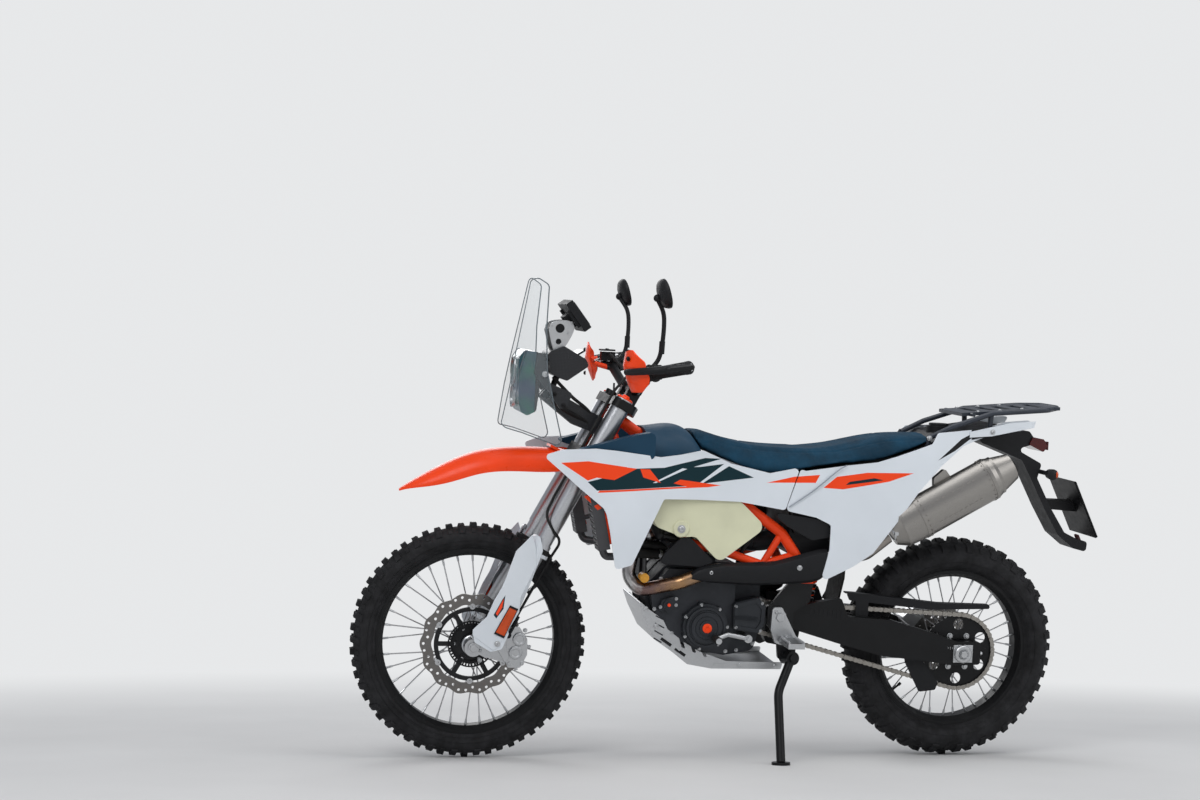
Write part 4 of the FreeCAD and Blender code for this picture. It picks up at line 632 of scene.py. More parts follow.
def make_tyre(name, axle, size, body):
    """A carcass with a row of blocks down the middle and rows on both shoulders."""
    crown = size["crown"]
    middle = size["radius"] - crown
    floor = crown - size["tread"]
    bulge = crown - 4
    seat = size["half"] - 4
    flange = size["bead"] + 10.5
    half = [(size["bead"], seat), (flange, seat), (flange, size["half"]), (flange + 5, size["half"] + 5)]
    for share in (0.3, 0.55, 0.8):
        half.append((flange + (middle - flange) * share,
                     size["half"] + (bulge - size["half"]) * share ** 0.55))
    for degrees in (90, 76, 62, 48, 34, 20, 8):
        t = math.radians(degrees)
        half.append((middle + floor * math.cos(t) ** 0.8, bulge * math.sin(t)))
    b = Build()
    b.revolve(axle, ACROSS, half + [(r, -y) for r, y in reversed(half)], 120)
    for r, rise in ((flange + 9, 1.2), (flange + 13, 0.8), (flange + (middle - flange) * 0.86, 1.4)):
        share = (r - flange) / (middle - flange)
        y = size["half"] + (bulge - size["half"]) * share ** 0.55
        for side in (1, -1):
            ring = [(r - 1.6, side * (y - 1)), (r, side * (y + rise)), (r + 1.6, side * (y - 1))]
            b.revolve(axle, ACROSS, ring, 96)
    step = 2 * math.pi / size["pitches"]
    rows = []
    for i in range(size["pitches"]):
        base = math.pi / 2 + i * step
        rows.append((base, 0, 15, 1.5, 0))
        rows.append((base + step / 2, 0, 7, 0.9, 0))
        for side in (1, -1):
            rows.append((base + step / 2, side * 49, 15, 1.5, side * 4))
            rows.append((base + step * 0.5, side * 20, 9, 1.3, 0))
            rows.append((base + step * 0.02, side * 52, 9, 1.0, 0))
    for turn, lean, width, length, slant in rows:
        tread_block(b, axle, size, turn, lean, width, length, slant)
    b.done(name, "tyre", body, 0.9, 30, (name.replace("knobs_", "") + "_tyre",))


def tread_block(b, axle, size, turn, lean, width, length, slant):
    """One block with a tapered body and a shallow groove across its top."""
    crown = size["crown"]
    long = size["tread"] * length
    deep = size["tread"] + 3
    tilt = math.radians(lean)
    out = Vector((math.cos(turn), 0, -math.sin(turn)))
    ahead = Vector((-math.sin(turn), 0, -math.cos(turn)))
    centre = axle + out * (size["radius"] - crown)
    normal = out * math.cos(tilt) + ACROSS * math.sin(tilt)
    aside = ACROSS * math.cos(tilt) - out * math.sin(tilt)
    rings = []
    low = 0.0 if width == 15 else 2.5
    for depth, share in ((deep, 1.16), (0.6, 1.0), (0, 0.94)):
        ring = []
        for x, y in ((-1, -1), (-0.12, -1), (0.12, -1), (1, -1), (1, 1), (0.12, 1), (-0.12, 1), (-1, 1)):
            t = math.radians(width) * y
            arc = normal * (crown * math.cos(t) - depth - low) + aside * (crown * math.sin(t) * share)
            if depth == 0 and abs(x) < 0.5:
                arc -= normal * 0.5
            ring.append(centre + arc + ahead * (x * long / 2 * share + slant * y * 0.5))
        rings.append(ring)
    b.skin(rings)


def spoke_ends(axle, bead, flange_radius, flange_y):
    """The spokes' ends at the hub and at the rim, as the model's source has them."""
    ends = []
    for i in range(SPOKES):
        side = 1 if i % 2 else -1
        cross = 1 if i % 4 < 2 else -1
        angle = math.radians(i * 360 / SPOKES)
        start = angle + cross * math.radians(50)
        a = axle + Vector((math.cos(start), 0,
                           math.sin(start))) * (flange_radius - 5) + ACROSS * (side * flange_y)
        c = axle + Vector((math.cos(angle), 0, math.sin(angle))) * (bead - 11) + ACROSS * (side * 6)
        ends.append((a, c))
    return ends


def make_wheel_trim(name, axle, bead, flange_radius, flange_y, body):
    """Nipples at the rim and spoke heads at the hub."""
    b = Build()
    for a, c in spoke_ends(axle, bead, flange_radius, flange_y):
        along = (c - a).normalized()
        b.tube([c - along * 20, c - along * 17, c], (2.9, 3.6), 8, 0)
        b.revolve(a - along * 1, along, [(0.1, -2.5), (3.6, -2.0), (3.2, 1), (0.1, 1)], 8)
    b.done(name, "alloy", body)


def make_disc(name, axle, outer, inner, y, waves, hole_rows, hole, body, instead):
    """A wavy brake disc with rows of holes."""
    edge = []
    hollow = []
    count = waves * 8
    for t in turns(count):
        wave = math.cos(t * waves)
        edge.append((axle.x + (outer - 3.5 + 3.5 * wave) * math.cos(t),
                     axle.z + (outer - 3.5 + 3.5 * wave) * math.sin(t)))
        hollow.append((axle.x + (inner - 2 + 2 * wave) * math.cos(t),
                       axle.z + (inner - 2 + 2 * wave) * math.sin(t)))
    holes = [hollow]
    for i in range(waves):
        for share, out in hole_rows:
            t = 2 * math.pi * (i + share) / waves
            r = inner + (outer - inner) * out
            holes.append(circle(axle.x + r * math.cos(t), axle.z + r * math.sin(t), hole, 14))
    b = Build()
    b.plate(edge, y - 2.5, y + 2.5, holes, 0.4)
    b.done(name, "steel", body, instead=instead)


def make_wheels():
    b = Build()
    make_tyre("knobs_front", FRONT_AXLE, FRONT, "front_wheel")
    make_tyre("knobs_rear", REAR_AXLE, REAR, "rear_wheel")
    make_wheel_trim("front_nipples", FRONT_AXLE, FRONT["bead"], 34, 32, "front_wheel")
    make_wheel_trim("rear_nipples", REAR_AXLE, REAR["bead"], 44, 34, "rear_wheel")
    rows = ((0.0, 0.68), (0.33, 0.36), (0.66, 0.62))
    make_disc("front_disc_holes", FRONT_AXLE, 150, 117, 62, 14, rows, 4.6, "front_wheel", ("front_disc",))
    rows = ((0.1, 0.85), (0.35, 0.62), (0.6, 0.85), (0.85, 0.62), (0.1, 0.42), (0.6, 0.42))
    make_disc("rear_disc_holes", REAR_AXLE, 120, 40, -84, 10, rows, 3.6, "rear_wheel", ("rear_disc",))
    for t in turns(6, math.radians(30)):
        b.revolve(wheel_point(FRONT_AXLE, 110, t, 62), ACROSS,
                  [(2.5, -4.5), (8.5, -4.5), (8.5, 4.5), (2.5, 4.5)], 20)
        b.plate(circle(FRONT_AXLE.x + 113 * math.cos(t), FRONT_AXLE.z - 113 * math.sin(t), 12, 20), 60, 64)
    for t in turns(6):
        b.bolt(wheel_point(FRONT_AXLE, 50, t, 60), ACROSS, 5, 6, "dome")
    b.done("front_disc_rivets", "alloy", "front_wheel", 0.4)
    slots = []
    for t in turns(44):
        slots.append([(FRONT_AXLE.x + r * math.cos(t + s), FRONT_AXLE.z + r * math.sin(t + s))
                      for r, s in ((56, -0.035), (65, -0.03), (65, 0.03), (56, 0.035))])
    slots.append(circle(FRONT_AXLE.x, FRONT_AXLE.z, 50, 64))
    b.plate(circle(FRONT_AXLE.x, FRONT_AXLE.z, 69, 88), 64.4, 66.4, slots)
    b.done("front_sensor_ring", "black", "front_wheel")
    for t in turns(6):
        b.bolt(wheel_point(REAR_AXLE, 54, t, 90), ACROSS, 7, 7, "hex")
    b.done("sprocket_bolts", "alloy", "rear_wheel", 0.4)
    for name, axle, bead, body, t in (("front_valve", FRONT_AXLE, FRONT["bead"], "front_wheel", 3.83),
                                      ("rear_valve", REAR_AXLE, REAR["bead"], "rear_wheel", 0.7)):
        b.rod(wheel_point(axle, bead - 10, t, 0), wheel_point(axle, bead - 44, t, 0), 3.2, 12)
        b.rod(wheel_point(axle, bead - 36, t, 0), wheel_point(axle, bead - 46, t, 0), 4.6, 12)
        b.done(name, "plastic", body)


# Chain

def chain_line():
    """The chain's pins round both sprockets, as the model's source has them."""
    rear = CHAIN_PITCH / (2 * math.sin(math.pi / REAR_TEETH))
    front = CHAIN_PITCH / (2 * math.sin(math.pi / FRONT_TEETH))
    span = DRIVE - Vector((0, 0, REAR_Z))
    slope = math.atan2(span.z, span.x)
    spread = math.asin((rear - front) / span.length)
    straight = span.length * math.cos(spread)
    front_wrap = front * (math.pi - 2 * spread)
    rear_wrap = rear * (math.pi + 2 * spread)
    whole = 2 * straight + front_wrap + rear_wrap
    links = 2 * int(whole / CHAIN_PITCH / 2 + 0.5)
    pins = []
    for i in range(links):
        s = (i + 0.5) * whole / links
        high = slope + math.pi / 2 - spread
        low = slope - math.pi / 2 + spread
        if s < straight:
            angle, start, radius, ahead = high, REAR_AXLE, rear, s
        elif s < straight + front_wrap:
            angle, start, radius, ahead = high - (s - straight) / front, DRIVE, front, 0
        elif s < 2 * straight + front_wrap:
            angle, start, radius, ahead = low, DRIVE, front, s - straight - front_wrap
        else:
            angle, start, radius, ahead = low - (s - 2 * straight - front_wrap) / rear, REAR_AXLE, rear, 0
        out = Vector((math.cos(angle), 0, math.sin(angle)))
        along = Vector((out.z, 0, -out.x))
        pins.append(start + out * radius + along * ahead)
    return pins


def make_chain():
    pins = chain_line()
    b = Build()
    for i, p in enumerate(pins):
        q = pins[(i + 1) % len(pins)]
        along = (q - p).normalized()
        out = Vector((-along.z, 0, along.x))
        middle = (p + q) / 2
        outline = []
        for end, way in ((q, 1), (p, -1)):
            for t in (-70, -35, 0, 35, 70):
                a = math.radians(t)
                v = end + along * (way * 7.3 * math.cos(a)) + out * (way * 7.3 * math.sin(a))
                outline.append(v)
            outline.append(middle + out * (way * 5.2))
        inner = i % 2
        for side in (1, -1):
            y0 = CHAIN_Y + side * (5.2 if inner else 7.2)
            rings = []
            for y in (y0, y0 + side * 1.7):
                rings.append([Vector((v.x, y, v.z)) for v in outline])
            b.skin(rings)
        b.rod(Vector((p.x, CHAIN_Y - 9.6, p.z)), Vector((p.x, CHAIN_Y + 9.6, p.z)), 2.6, 10)
        b.rod(Vector((p.x, CHAIN_Y - 5.2, p.z)), Vector((p.x, CHAIN_Y + 5.2, p.z)), 4.8, 10)
    b.done("chain_links", "chain", "chassis", 0, 30, ("chain",))


# Engine, exhaust and frame

def ring_of_bolts(b, x, z, y, reach, count, side, radius=4.2, start=0.5):
    for i in range(count):
        t = 2 * math.pi * (i + start) / count
        b.bolt((x + reach * math.cos(t), y, z + reach * math.sin(t)), ACROSS * side, radius, 5, "dome")


def make_engine():
    b = Build()
    ring_of_bolts(b, 816, 422, 138, 66, 7, 1)
    ring_of_bolts(b, 760, 430, -128, 80, 9, -1)
    ring_of_bolts(b, 900, 440, -126, 40, 5, -1, 3.6)
    b.bolts(((724, 484), (722, 422), (646, 493), (648, 412)), 137, ACROSS, 4.2, 5, "dome")
    b.bolts(((795, 690), (912, 690), (905, 790), (795, 790)), 78, ACROSS, 5, 6, "hex")
    b.bolts(((952, 560), (968, 470), (912, 398), (745, 345), (735, 572)), 116, ACROSS, 4.2, 5, "dome")
    b.bolts(((650, 360), (700, 340), (642, 545), (700, 574)), 74, ACROSS, 4.2, 5, "dome")
    b.bolts(((955, 480), (908, 505), (908, 486)), 138, ACROSS, 3.6, 5, "dome")
    b.done("engine_bolts", "alloy")
    b.revolve((816, 160, 422), ACROSS, [(0.1, -1), (14, -1), (14, 2.5), (11, 4), (6, 4), (5, 2), (0.1, 2)],
              32)
    b.revolve((932, 150, 488), ACROSS, [(0.1, -1), (5, -1), (5, 2), (0.1, 2)], 20)
    b.done("cover_plugs", "orange")
    b.revolve((1004, 118, 563), ACROSS,
              [(0.1, -30), (12, -30), (12, 0), (14, 0), (14, 8), (11, 10), (0.1, 10)], 24)
    b.done("filler_plug", "cap")
    for radius, width in ((52, 2.0), (34, 1.6)):
        y = 150 if radius > 46 else 156
        b.revolve((816, y, 422), ACROSS, [(radius - width, -1), (radius + width, -1), (radius, 1.6)], 64)
    for i in range(7):
        x = 668 + i * 13
        b.tube([(x, 105, 586), (x + 6, 105, 560), (x + 8, 92, 548)], 2.0, 8, 3)
    for i in range(5):
        z = 374 + i * 22
        b.tube([(942 - i * 3, 117, z - 4), (966 - i * 1, 117, z + 10)], 2.4, 8, 0)
    b.done("cover_beads", "cover")
    b.tube([(1078, 146, 634), (1042, 118, 636), (990, 88, 630), (935, 74, 624)], 15, 16, 8)
    b.tube([(1090, 150, 668), (1046, 112, 664), (990, 84, 656), (930, 72, 650)], 12, 16, 8)
    b.tube([(700, 60, 600), (720, 84, 640), (770, 88, 690), (790, 72, 740)], 6, 12, 8)
    b.tube([(660, 92, 560), (700, 100, 610), (780, 104, 636), (880, 100, 600)], 5, 12, 8)
    b.done("coolant_hoses", "rubber")
    b.box((984, -20, 598), (4, 150, 106), None, 0.9)
    b.box((989, -20, 598), (8, 40, 84), None, 0.8)
    b.done("splash_plate", "plastic", bevel=1.5)
    b.tube([(806, 0, 716), (760, 0, 700), (690, 0, 668), (610, 0, 664), (560, 0, 690)], 31, 28, 8)
    for x, z in ((786, 709), (640, 664)):
        b.revolve((x, 0, z), (1, 0, 0.2), [(30, -6), (34, -6), (34, 6), (30, 6)], 36)
    b.tube([(700, 40, 600), (690, 52, 640), (650, 50, 690), (620, 46, 720)], 6, 10, 6)
    b.done("intake_duct", "cover")
    radius = HOSE_CLAMP
    for place, axis in (((1060, 132, 635.5), (0.8, 0.6, 0)), ((952, 78, 626), (0.95, 0.25, 0.1))):
        b.revolve(place, axis, [(radius - 2, -4.5), (radius, -4.5), (radius, 4.5), (radius - 2, 4.5)], 28)
        b.box(Vector(place) + Vector((0, radius + 1, 0)), (9, 5, 9))
    for side in (1, -1):
        b.bolt((946, 42 + side * 28, 691), (0.97, 0.07, -0.19), 5, 9, "hex")
    b.done("hose_clamps", "alloy", bevel=0.3)
    b.rod((850, 76, 735), (850, 92, 735), 13)
    b.tube([(850, 90, 735), (850, 112, 742), (836, 112, 780), (800, 90, 820)], 4.5, 10, 8)
    b.done("spark_lead", "plastic")
    for i in range(18):
        x = 656 + i * 4.2
        b.tube([(x, 141, 452 + 0.3 * i), (x + 5, 141, 440 + 0.3 * i)], 1.1, 6, 0)
    b.done("sprocket_cover_ribs", "cover")


def make_exhaust():
    b = Build()
    b.bolt((817, 178, 590), ACROSS, 6, 5, "dome")
    b.bolt((549, 181, 609), ACROSS, 6, 5, "dome")
    b.done("shield_bolts", "alloy")
    stations = spline([(874, 586, 568), (850, 602, 562), (800, 613, 557), (740, 619, 554), (679, 620, 552),
                       (628, 623, 554), (573, 638, 557), (520, 653, 560), (484, 662,
                                                                           568), (462, 664, 584)], 3)
    rings = []
    for x, top, low in stations:
        outer = []
        inner = []
        for i in range(9):
            t = i / 8
            bulge = math.sqrt(max(0.0, 1 - (2 * t - 1) ** 4))
            z = top + (low - top) * t
            outer.append(Vector((x, 160 + 22 * bulge, z)))
            inner.append(Vector((x, 157 + 21 * bulge, (top + low) / 2 + (z - (top + low) / 2) * 0.93)))
        rings.append(outer + inner[::-1])
    b.skin(rings)
    b.done("pipe_shell", "plastic", bevel=0.8, instead=("heat_shield",))
    front = Vector((222, 134, 728))
    along = (Vector((-92, 134, 906)) - front).normalized()
    up = Vector((-along.z, 0, along.x)) * -1
    for place, grow in ((4, 1.0), (66, 1.5), (312, 1.5), (336, 1.2)):
        tall, wide = (62, 42) if place < 10 else (66, 46)
        if place > 330:
            tall, wide = 59.5, 41
        rings = []
        for t in turns(72):
            ring = []
            for dx, dr in ((-5, -1), (-5, grow), (5, grow), (5, -1)):
                out = up * math.cos(t) * (tall + dr) + ACROSS * math.sin(t) * (wide + dr)
                ring.append(front + along * (place + dx) + out)
            rings.append(ring)
        b.skin(rings, loop=True)
    b.done("muffler_bands", "muffler")
    for place in (76, 302):
        for t in turns(22):
            out = up * math.cos(t) * 66.4 + ACROSS * math.sin(t) * 46.4
            normal = up * math.cos(t) / 66 + ACROSS * math.sin(t) / 46
            b.bolt(front + along * place + out, normal, 2.4, 1.8, "dome")
    for row in (-1, 1):
        for i in range(9):
            t = math.pi / 2 + row * 0.5
            out = up * math.cos(t) * 66.6 + ACROSS * math.sin(t) * 46.6
            p = front + along * (110 + i * 18) + out
            b.box(p, (10, 1.6, 3), Matrix((along, ACROSS, up)).transposed())
    b.done("muffler_rivets", "muffler")
    b.revolve(front + along * 356, along, [(19.6, 2), (24, 2), (24, 43), (22, 46), (19.6, 44)], 40)
    b.revolve(front + along * 370, along, [(0.1, 0), (20, 0), (20, 2), (0.1, 2)], 32)
    b.done("muffler_outlet", "black")
    b.revolve(front + along * -36, along, [(22, 0), (27, 0), (27, 14), (22, 14)], 36)
    b.box(front + along * -29 + Vector((0, 30, 0)), (12, 10, 10))
    b.done("muffler_clamp", "alloy", bevel=0.4)
    b.revolve((985, 44, 680), (0.95, 0, -0.3), [(20, -5), (30, -5), (30, 5), (20, 5)], 36)
    for t in turns(2, math.pi / 2):
        b.bolt((990, 44 + 25 * math.sin(t), 678), (0.95, 0, -0.3), 5, 7, "hex")
    b.done("header_joints", "alloy")


def make_frame_trim():
    b = Build()
    for side, tag in SIDES:
        b.bolt((592, side * 149, 456), ACROSS * side, 15, 12, "hex")
        b.bolt((603, side * 156, 470), ACROSS * side, 6, 6, "dome")
        b.bolt((572, side * 156, 384), ACROSS * side, 6, 6, "dome")
        b.bolt((911, side * 171, 716), ACROSS * side, 9, 6, "dome")
        b.done("frame_bolts_" + tag, "alloy", bevel=0.3)
        b.revolve((911, side * 160, 716), ACROSS * side, [(0.1, 0), (25, 0), (25, 8), (22, 11), (0.1, 11)],
                  40)
        b.done("tank_lug_" + tag, "cream", bevel=0.6)
        b.revolve((592, side * 143, 456), ACROSS * side, [(16, -1), (26, -1), (26, 4), (23, 6), (16, 6)], 40)
        b.done("pivot_collar_" + tag, "black")
        b.revolve((0, side * 131, REAR_Z), ACROSS * side,
                  [(12, -2), (27, -2), (27, 9), (24, 12), (17, 12), (12, 8)], 44)
        b.bolt((0, side * 138, REAR_Z), ACROSS * side, 12, 10, "hex")
        b.bolt((-58, side * 119, REAR_Z), (-1, 0, 0), 6, 10, "hex")
        b.rod((-40, side * 119, REAR_Z), (-66, side * 119, REAR_Z), 4)
        b.done("axle_nut_" + tag, "alloy", bevel=0.4)
        b.box((-2, side * 129.5, REAR_Z), (62, 4, 54))
        for i in range(5):
            b.box((18 + i * 7, side * 128.4, REAR_Z + 17), (1.6, 1.6, 9 if i % 2 else 6))
        b.done("axle_block_" + tag, "alloy", bevel=0.8)
        for i in range(8):
            x = 490 - i * 14
            b.box((x, side * 128.3, 470 - i * 1.0), (3, 1.4, 20))
        b.done("swingarm_grip_" + tag, "plastic")
    low = Vector((500, 0, 352))
    along = (Vector((452, 0, 650)) - low).normalized()
    u, v, _ = basis(along)
    coil = []
    for i in range(8 * 24 + 1):
        t = 2 * math.pi * i / 24
        coil.append(low + along * (72 + 158 * i / (8 * 24)) + (u * math.cos(t) + v * math.sin(t)) * 31)
    b.tube(coil, 5, 10, 0)
    b.done("shock_coil", "coil")
    rings = []
    for z, x in ((700, 372), (640, 366), (560, 368), (500, 380), (478, 392)):
        rings.append([Vector((x + dx, y, z)) for dx,
                      y in ((-3, -62), (-6, 0), (-3, 62), (3, 62), (0, 0), (3, -62))])
    b.skin(rings)
    b.done("mud_flap", "rubber", bevel=0.8)


# Steering

def make_fork_trim():
    b = Build()
    for side, tag in SIDES:
        y = side * LEG_Y
        top = steer(842, CLAMP_OFFSET, y)
        b.revolve(top, STEER_UP, [(0.1, -2), (25, -2), (25, 3), (22, 6), (0.1, 6)], 40)
        b.bolt(top + STEER_UP * 5, STEER_UP, 11, 8, "hex")
        b.done("fork_cap_" + tag, "orange", "steering")
        for along in (632, 650, 818, 832):
            p = steer(along, CLAMP_OFFSET - 33, y + side * 6)
            b.bolt(p, -STEER_AHEAD, 5, 6, "dome")
        b.bolt(steer(22, CLAMP_OFFSET + 8, side * (LEG_Y + 24)), ACROSS * side, 8, 6, "dome")
        for dz in (-14, 14):
            b.bolt(FRONT_AXLE + Vector((-20, side * (LEG_Y + 18), dz - 22)), ACROSS * side, 5, 6, "dome")
        b.bolt(FRONT_AXLE + Vector((0, side * (LEG_Y + 25), 0)), ACROSS * side, 12, 6, "hex")
        b.done("fork_bolts_" + tag, "alloy", "steering", bevel=0.3)
        b.revolve(steer(334, CLAMP_OFFSET, y), STEER_UP,
                  [(24.2, -8), (29, -7), (31, 0), (31, 12), (28, 14), (24.2, 14)], 48)
        b.done("fork_wiper_" + tag, "rubber", "steering")
        b.plate([(1346, 684), (1334, 651), (1331, 596), (1372, 504), (1375, 462), (1432, 358), (1446, 350),
                 (1505, 392), (1505, 408), (1466, 446), (1446, 495), (1425, 534), (1414, 563), (1389, 638),
                 (1364, 664)], side * 138, side * 141.5, (), 1.4)
        b.done("guard_cheek_" + tag, "guard", "steering")
        b.bolt((1434, side * (LEG_Y + 39), 368), ACROSS * side, 6.5, 4, "dome")
        b.done("guard_bolts_" + tag, "alloy", "steering")
        corners = ((1401, 480), (1378, 470), (1416, 385), (1444, 398))
        b.plate(corners, side * 139, side * 144, (), 0.6)
        b.done("reflector_rim_" + tag, "plastic", "steering", bevel=0.4)
        middle = sum((Vector(c) for c in corners), Vector((0, 0))) / 4
        b.plate([tuple(middle + (Vector(c) - middle) * 0.86) for c in corners], side * 143, side * 145.2,
                (), 0.5)
        for i in range(9):
            for low, high in ((corners[0], corners[3]), (corners[1], corners[2])):
                p = Vector(low) + (Vector(high) - Vector(low)) * (0.14 + i * 0.09)
                p = middle + (p - middle) * 0.55
                b.box((p.x, side * 145.2, p.y), (7, 1.2, 3.0), Matrix.Rotation(math.radians(64), 3, "Y"))
        b.done("fork_reflector_" + tag, "amber", "steering", bevel=0.2)


def make_caliper():
    """The front caliper's piston covers, bolts and hose, on its bracket."""
    b = Build()
    for x, z in ((1362, 372), (1372, 332)):
        b.revolve((x, 90, z), ACROSS,
                  [(0.1, -2), (20, -2), (20, 4), (17.5, 6), (12, 6), (11, 4.5), (0.1, 4.5)], 36)
        b.revolve((x, 90, z), ACROSS, [(13, 5), (14, 7), (15, 5)], 36)
    b.bolts(((1346, 398), (1352, 300), (1390, 300)), 89, ACROSS, 5, 6, "hex")
    b.plate([(1416, 402), (1430, 350), (1404, 306), (1392, 318), (1402, 356), (1396, 396)], 88, 96, (), 1.0)
    b.rod((1350, 78, 352), (1326, 78, 346), 5, 12)
    b.rod((1372, 78, 306), (1366, 78, 278), 5, 12)
    b.done("caliper_covers", "alloy", "steering", bevel=0.6)
    b.revolve((1396, 92, 384), ACROSS, [(0.1, 0), (9, 0), (9, 6), (6, 9), (0.1, 9)], 24)
    b.tube([(1396, 97, 384), (1382, 100, 410), (1368, 96, 440)], 4.4, 10, 6)
    b.done("caliper_banjo", "plastic", "steering")
    b.revolve((FRONT_AXLE.x, LEG_Y - 34, FRONT_AXLE.z), ACROSS,
              [(12, 0), (30, 0), (30, 12), (24, 16), (12, 16)], 40)
    b.box((FRONT_AXLE.x - 26, LEG_Y - 4, FRONT_AXLE.z + 34), (18, 40, 22), Matrix.Rotation(-RAKE, 3, "Y"))
    b.done("axle_boss", "fork", "steering", bevel=1.2)


def make_bars():
    b = Build()
    knee = Vector((1056, 225, 1163))
    end = Vector((974, 405, 1196))
    for side, tag in SIDES:
        flip = Vector((1, side, 1))
        a = knee * flip
        e = end * flip
        along = (e - a).normalized()
        start = a + along * ((272 - 225) / abs(along.y))
        length = (e - start).length - 6
        for i in range(22):
            place = 8 + i * (length - 14) / 22
            b.revolve(start + along * place, along, [(16.8, -1.8), (18.2, -1.2), (18.2, 1.2), (16.8, 1.8)],
                      32)
        b.revolve(start, along, [(17, -4), (24, -4), (25, -2), (24, 1), (17, 2)], 40)
        b.done("grip_ribs_" + tag, "rubber", "steering")
        b.revolve(e - along * 7, along, [(0.1, 0), (19, 0), (19, 12), (15, 17), (0.1, 17)], 36)
        b.done("bar_plug_" + tag, "plastic", "steering")
        b.revolve(e + along * 9, along,
                  [(6, 0), (11, 0), (11, 3), (9, 4), (6, 4), (5, 1), (0.1, 1), (0.1, 0)], 30)
        b.done("bar_screw_" + tag, "alloy", "steering")
        p = start - along * 8
        turn = Matrix((along.cross(Vector((0, 0, 1))).normalized(), along,
                       along.cross(along.cross(Vector((0, 0, 1)))).normalized() * -1)).transposed()
        b.box(p + Vector((-6, 0, 4)), (34, 17, 42), turn)
        b.box(p + Vector((-24, 0, 6)), (6, 10, 20), turn)
        b.done("switch_pod_" + tag, "plastic", "steering", bevel=2.5)
        lever = [p + Vector((40, 10 * side, 4)), p + Vector((56, 60 * side, 8)),
                 e + Vector((40, -40 * side, 2))]
        b.tube(lever, (5.5, 4.5), 10, 8)
        b.bolt(start - along * 20 + Vector((44, 0, 14)), (0, 0, 1), 5, 6, "hex")
        b.done("lever_blade_" + tag, "alloy", "steering")
        guard = [e + along * 10, e + along * 8 + Vector((30, 4 * side, -4)), Vector((1062, 410 * side, 1186)),
                 Vector((1112, 366 * side, 1178)), Vector((1128, 318 * side, 1174))]
        b.tube(guard, (13, 9), 14, 8)
        b.done("guard_bar_" + tag, "plastic", "steering")
        for place in ((1128, 330, 1212), (1130, 300, 1140)):
            b.bolt(Vector(place) * flip, (0.9, 0.3 * side, 0), 5, 4, "dome")
        b.done("shield_screws_" + tag, "black", "steering")
        middle = steer(886, 3, side * 50)
        turn = Matrix.Rotation(-RAKE, 3, "Y")
        b.box(middle, (42, 30, 16), turn)
        for dx in (-15, 15):
            b.bolt(middle + STEER_UP * 8 + STEER_AHEAD * dx, STEER_UP, 4.6, 6, "dome")
        b.done("bar_clamp_" + tag, "black", "steering", bevel=1.6)
    b.box((1072, -250, 1216), (46, 34, 5))
    for y in (-262, -238):
        b.bolt((1072, y, 1218), (0, 0, 1), 3, 3, "dome")
    b.done("reservoir_lid", "plastic", "steering", bevel=1)
    b.revolve(steer(850, 0, 0), STEER_UP, [(0.1, -6), (20, -6), (20, 5), (17, 8), (0.1, 8)], 6)
    b.done("stem_nut", "alloy", "steering")
    b.revolve(steer(842, 52, 0), STEER_UP, [(0.1, -6), (17, -6), (17, 8), (14, 10), (0.1, 10)], 30)
    b.box(steer(862, 52, 0), (4, 10, 26))
    b.done("ignition", "black", "steering")


def make_mirrors():
    b = Build()
    shells = Build()
    turn = Matrix.Rotation(math.radians(16), 3, "Y")
    for side, tag in SIDES:
        flip = Vector((1, side, 1))
        middle = Vector((1022, 276, 1396)) * flip

        def ring(ahead, share):
            line = []
            for t in turns(44):
                wide = 55 * math.copysign(abs(math.cos(t)) ** 0.8, math.cos(t))
                tall = 43 * math.copysign(abs(math.sin(t)) ** 0.8, math.sin(t))
                line.append(middle + turn @ Vector((ahead, wide * share, tall * share)))
            return line
        shells.skin([ring(ahead, share) for ahead, share in
                     ((15, 0.3), (13, 0.55), (9, 0.78), (3, 0.93), (-4, 1.0), (-9, 1.0), (-10, 0.95),
                      (-7, 0.93))])
        shells.tube([Vector(p) * flip for p in ((1046, 236, 1176), (1016, 238, 1222), (1011, 246, 1328),
                                                (1038, 266, 1384))], 6.5, 14, 8)
        b.skin([ring(-6.5, 0.935), ring(-8.5, 0.93)])
        b.done("mirror_glass_" + tag, "glass", "steering")
        for place in ((1038, 266, 1384), (1046, 237, 1184)):
            arcs = [math.pi * i / 10 for i in range(11)]
            section = [(max(0.1, JOINT_BALL * math.sin(t)), -JOINT_BALL * math.cos(t)) for t in arcs]
            b.revolve(Vector(place) * flip, (0, 0, 1), section, 24)
        b.rod(Vector((1012, 238, 1226)) * flip, Vector((1011.5, 240, 1262)) * flip, 8.5, 16)
        b.done("mirror_joints_" + tag, "plastic", "steering")
    shells.done("mirror_shells", "plastic", "steering", instead=("mirrors",))


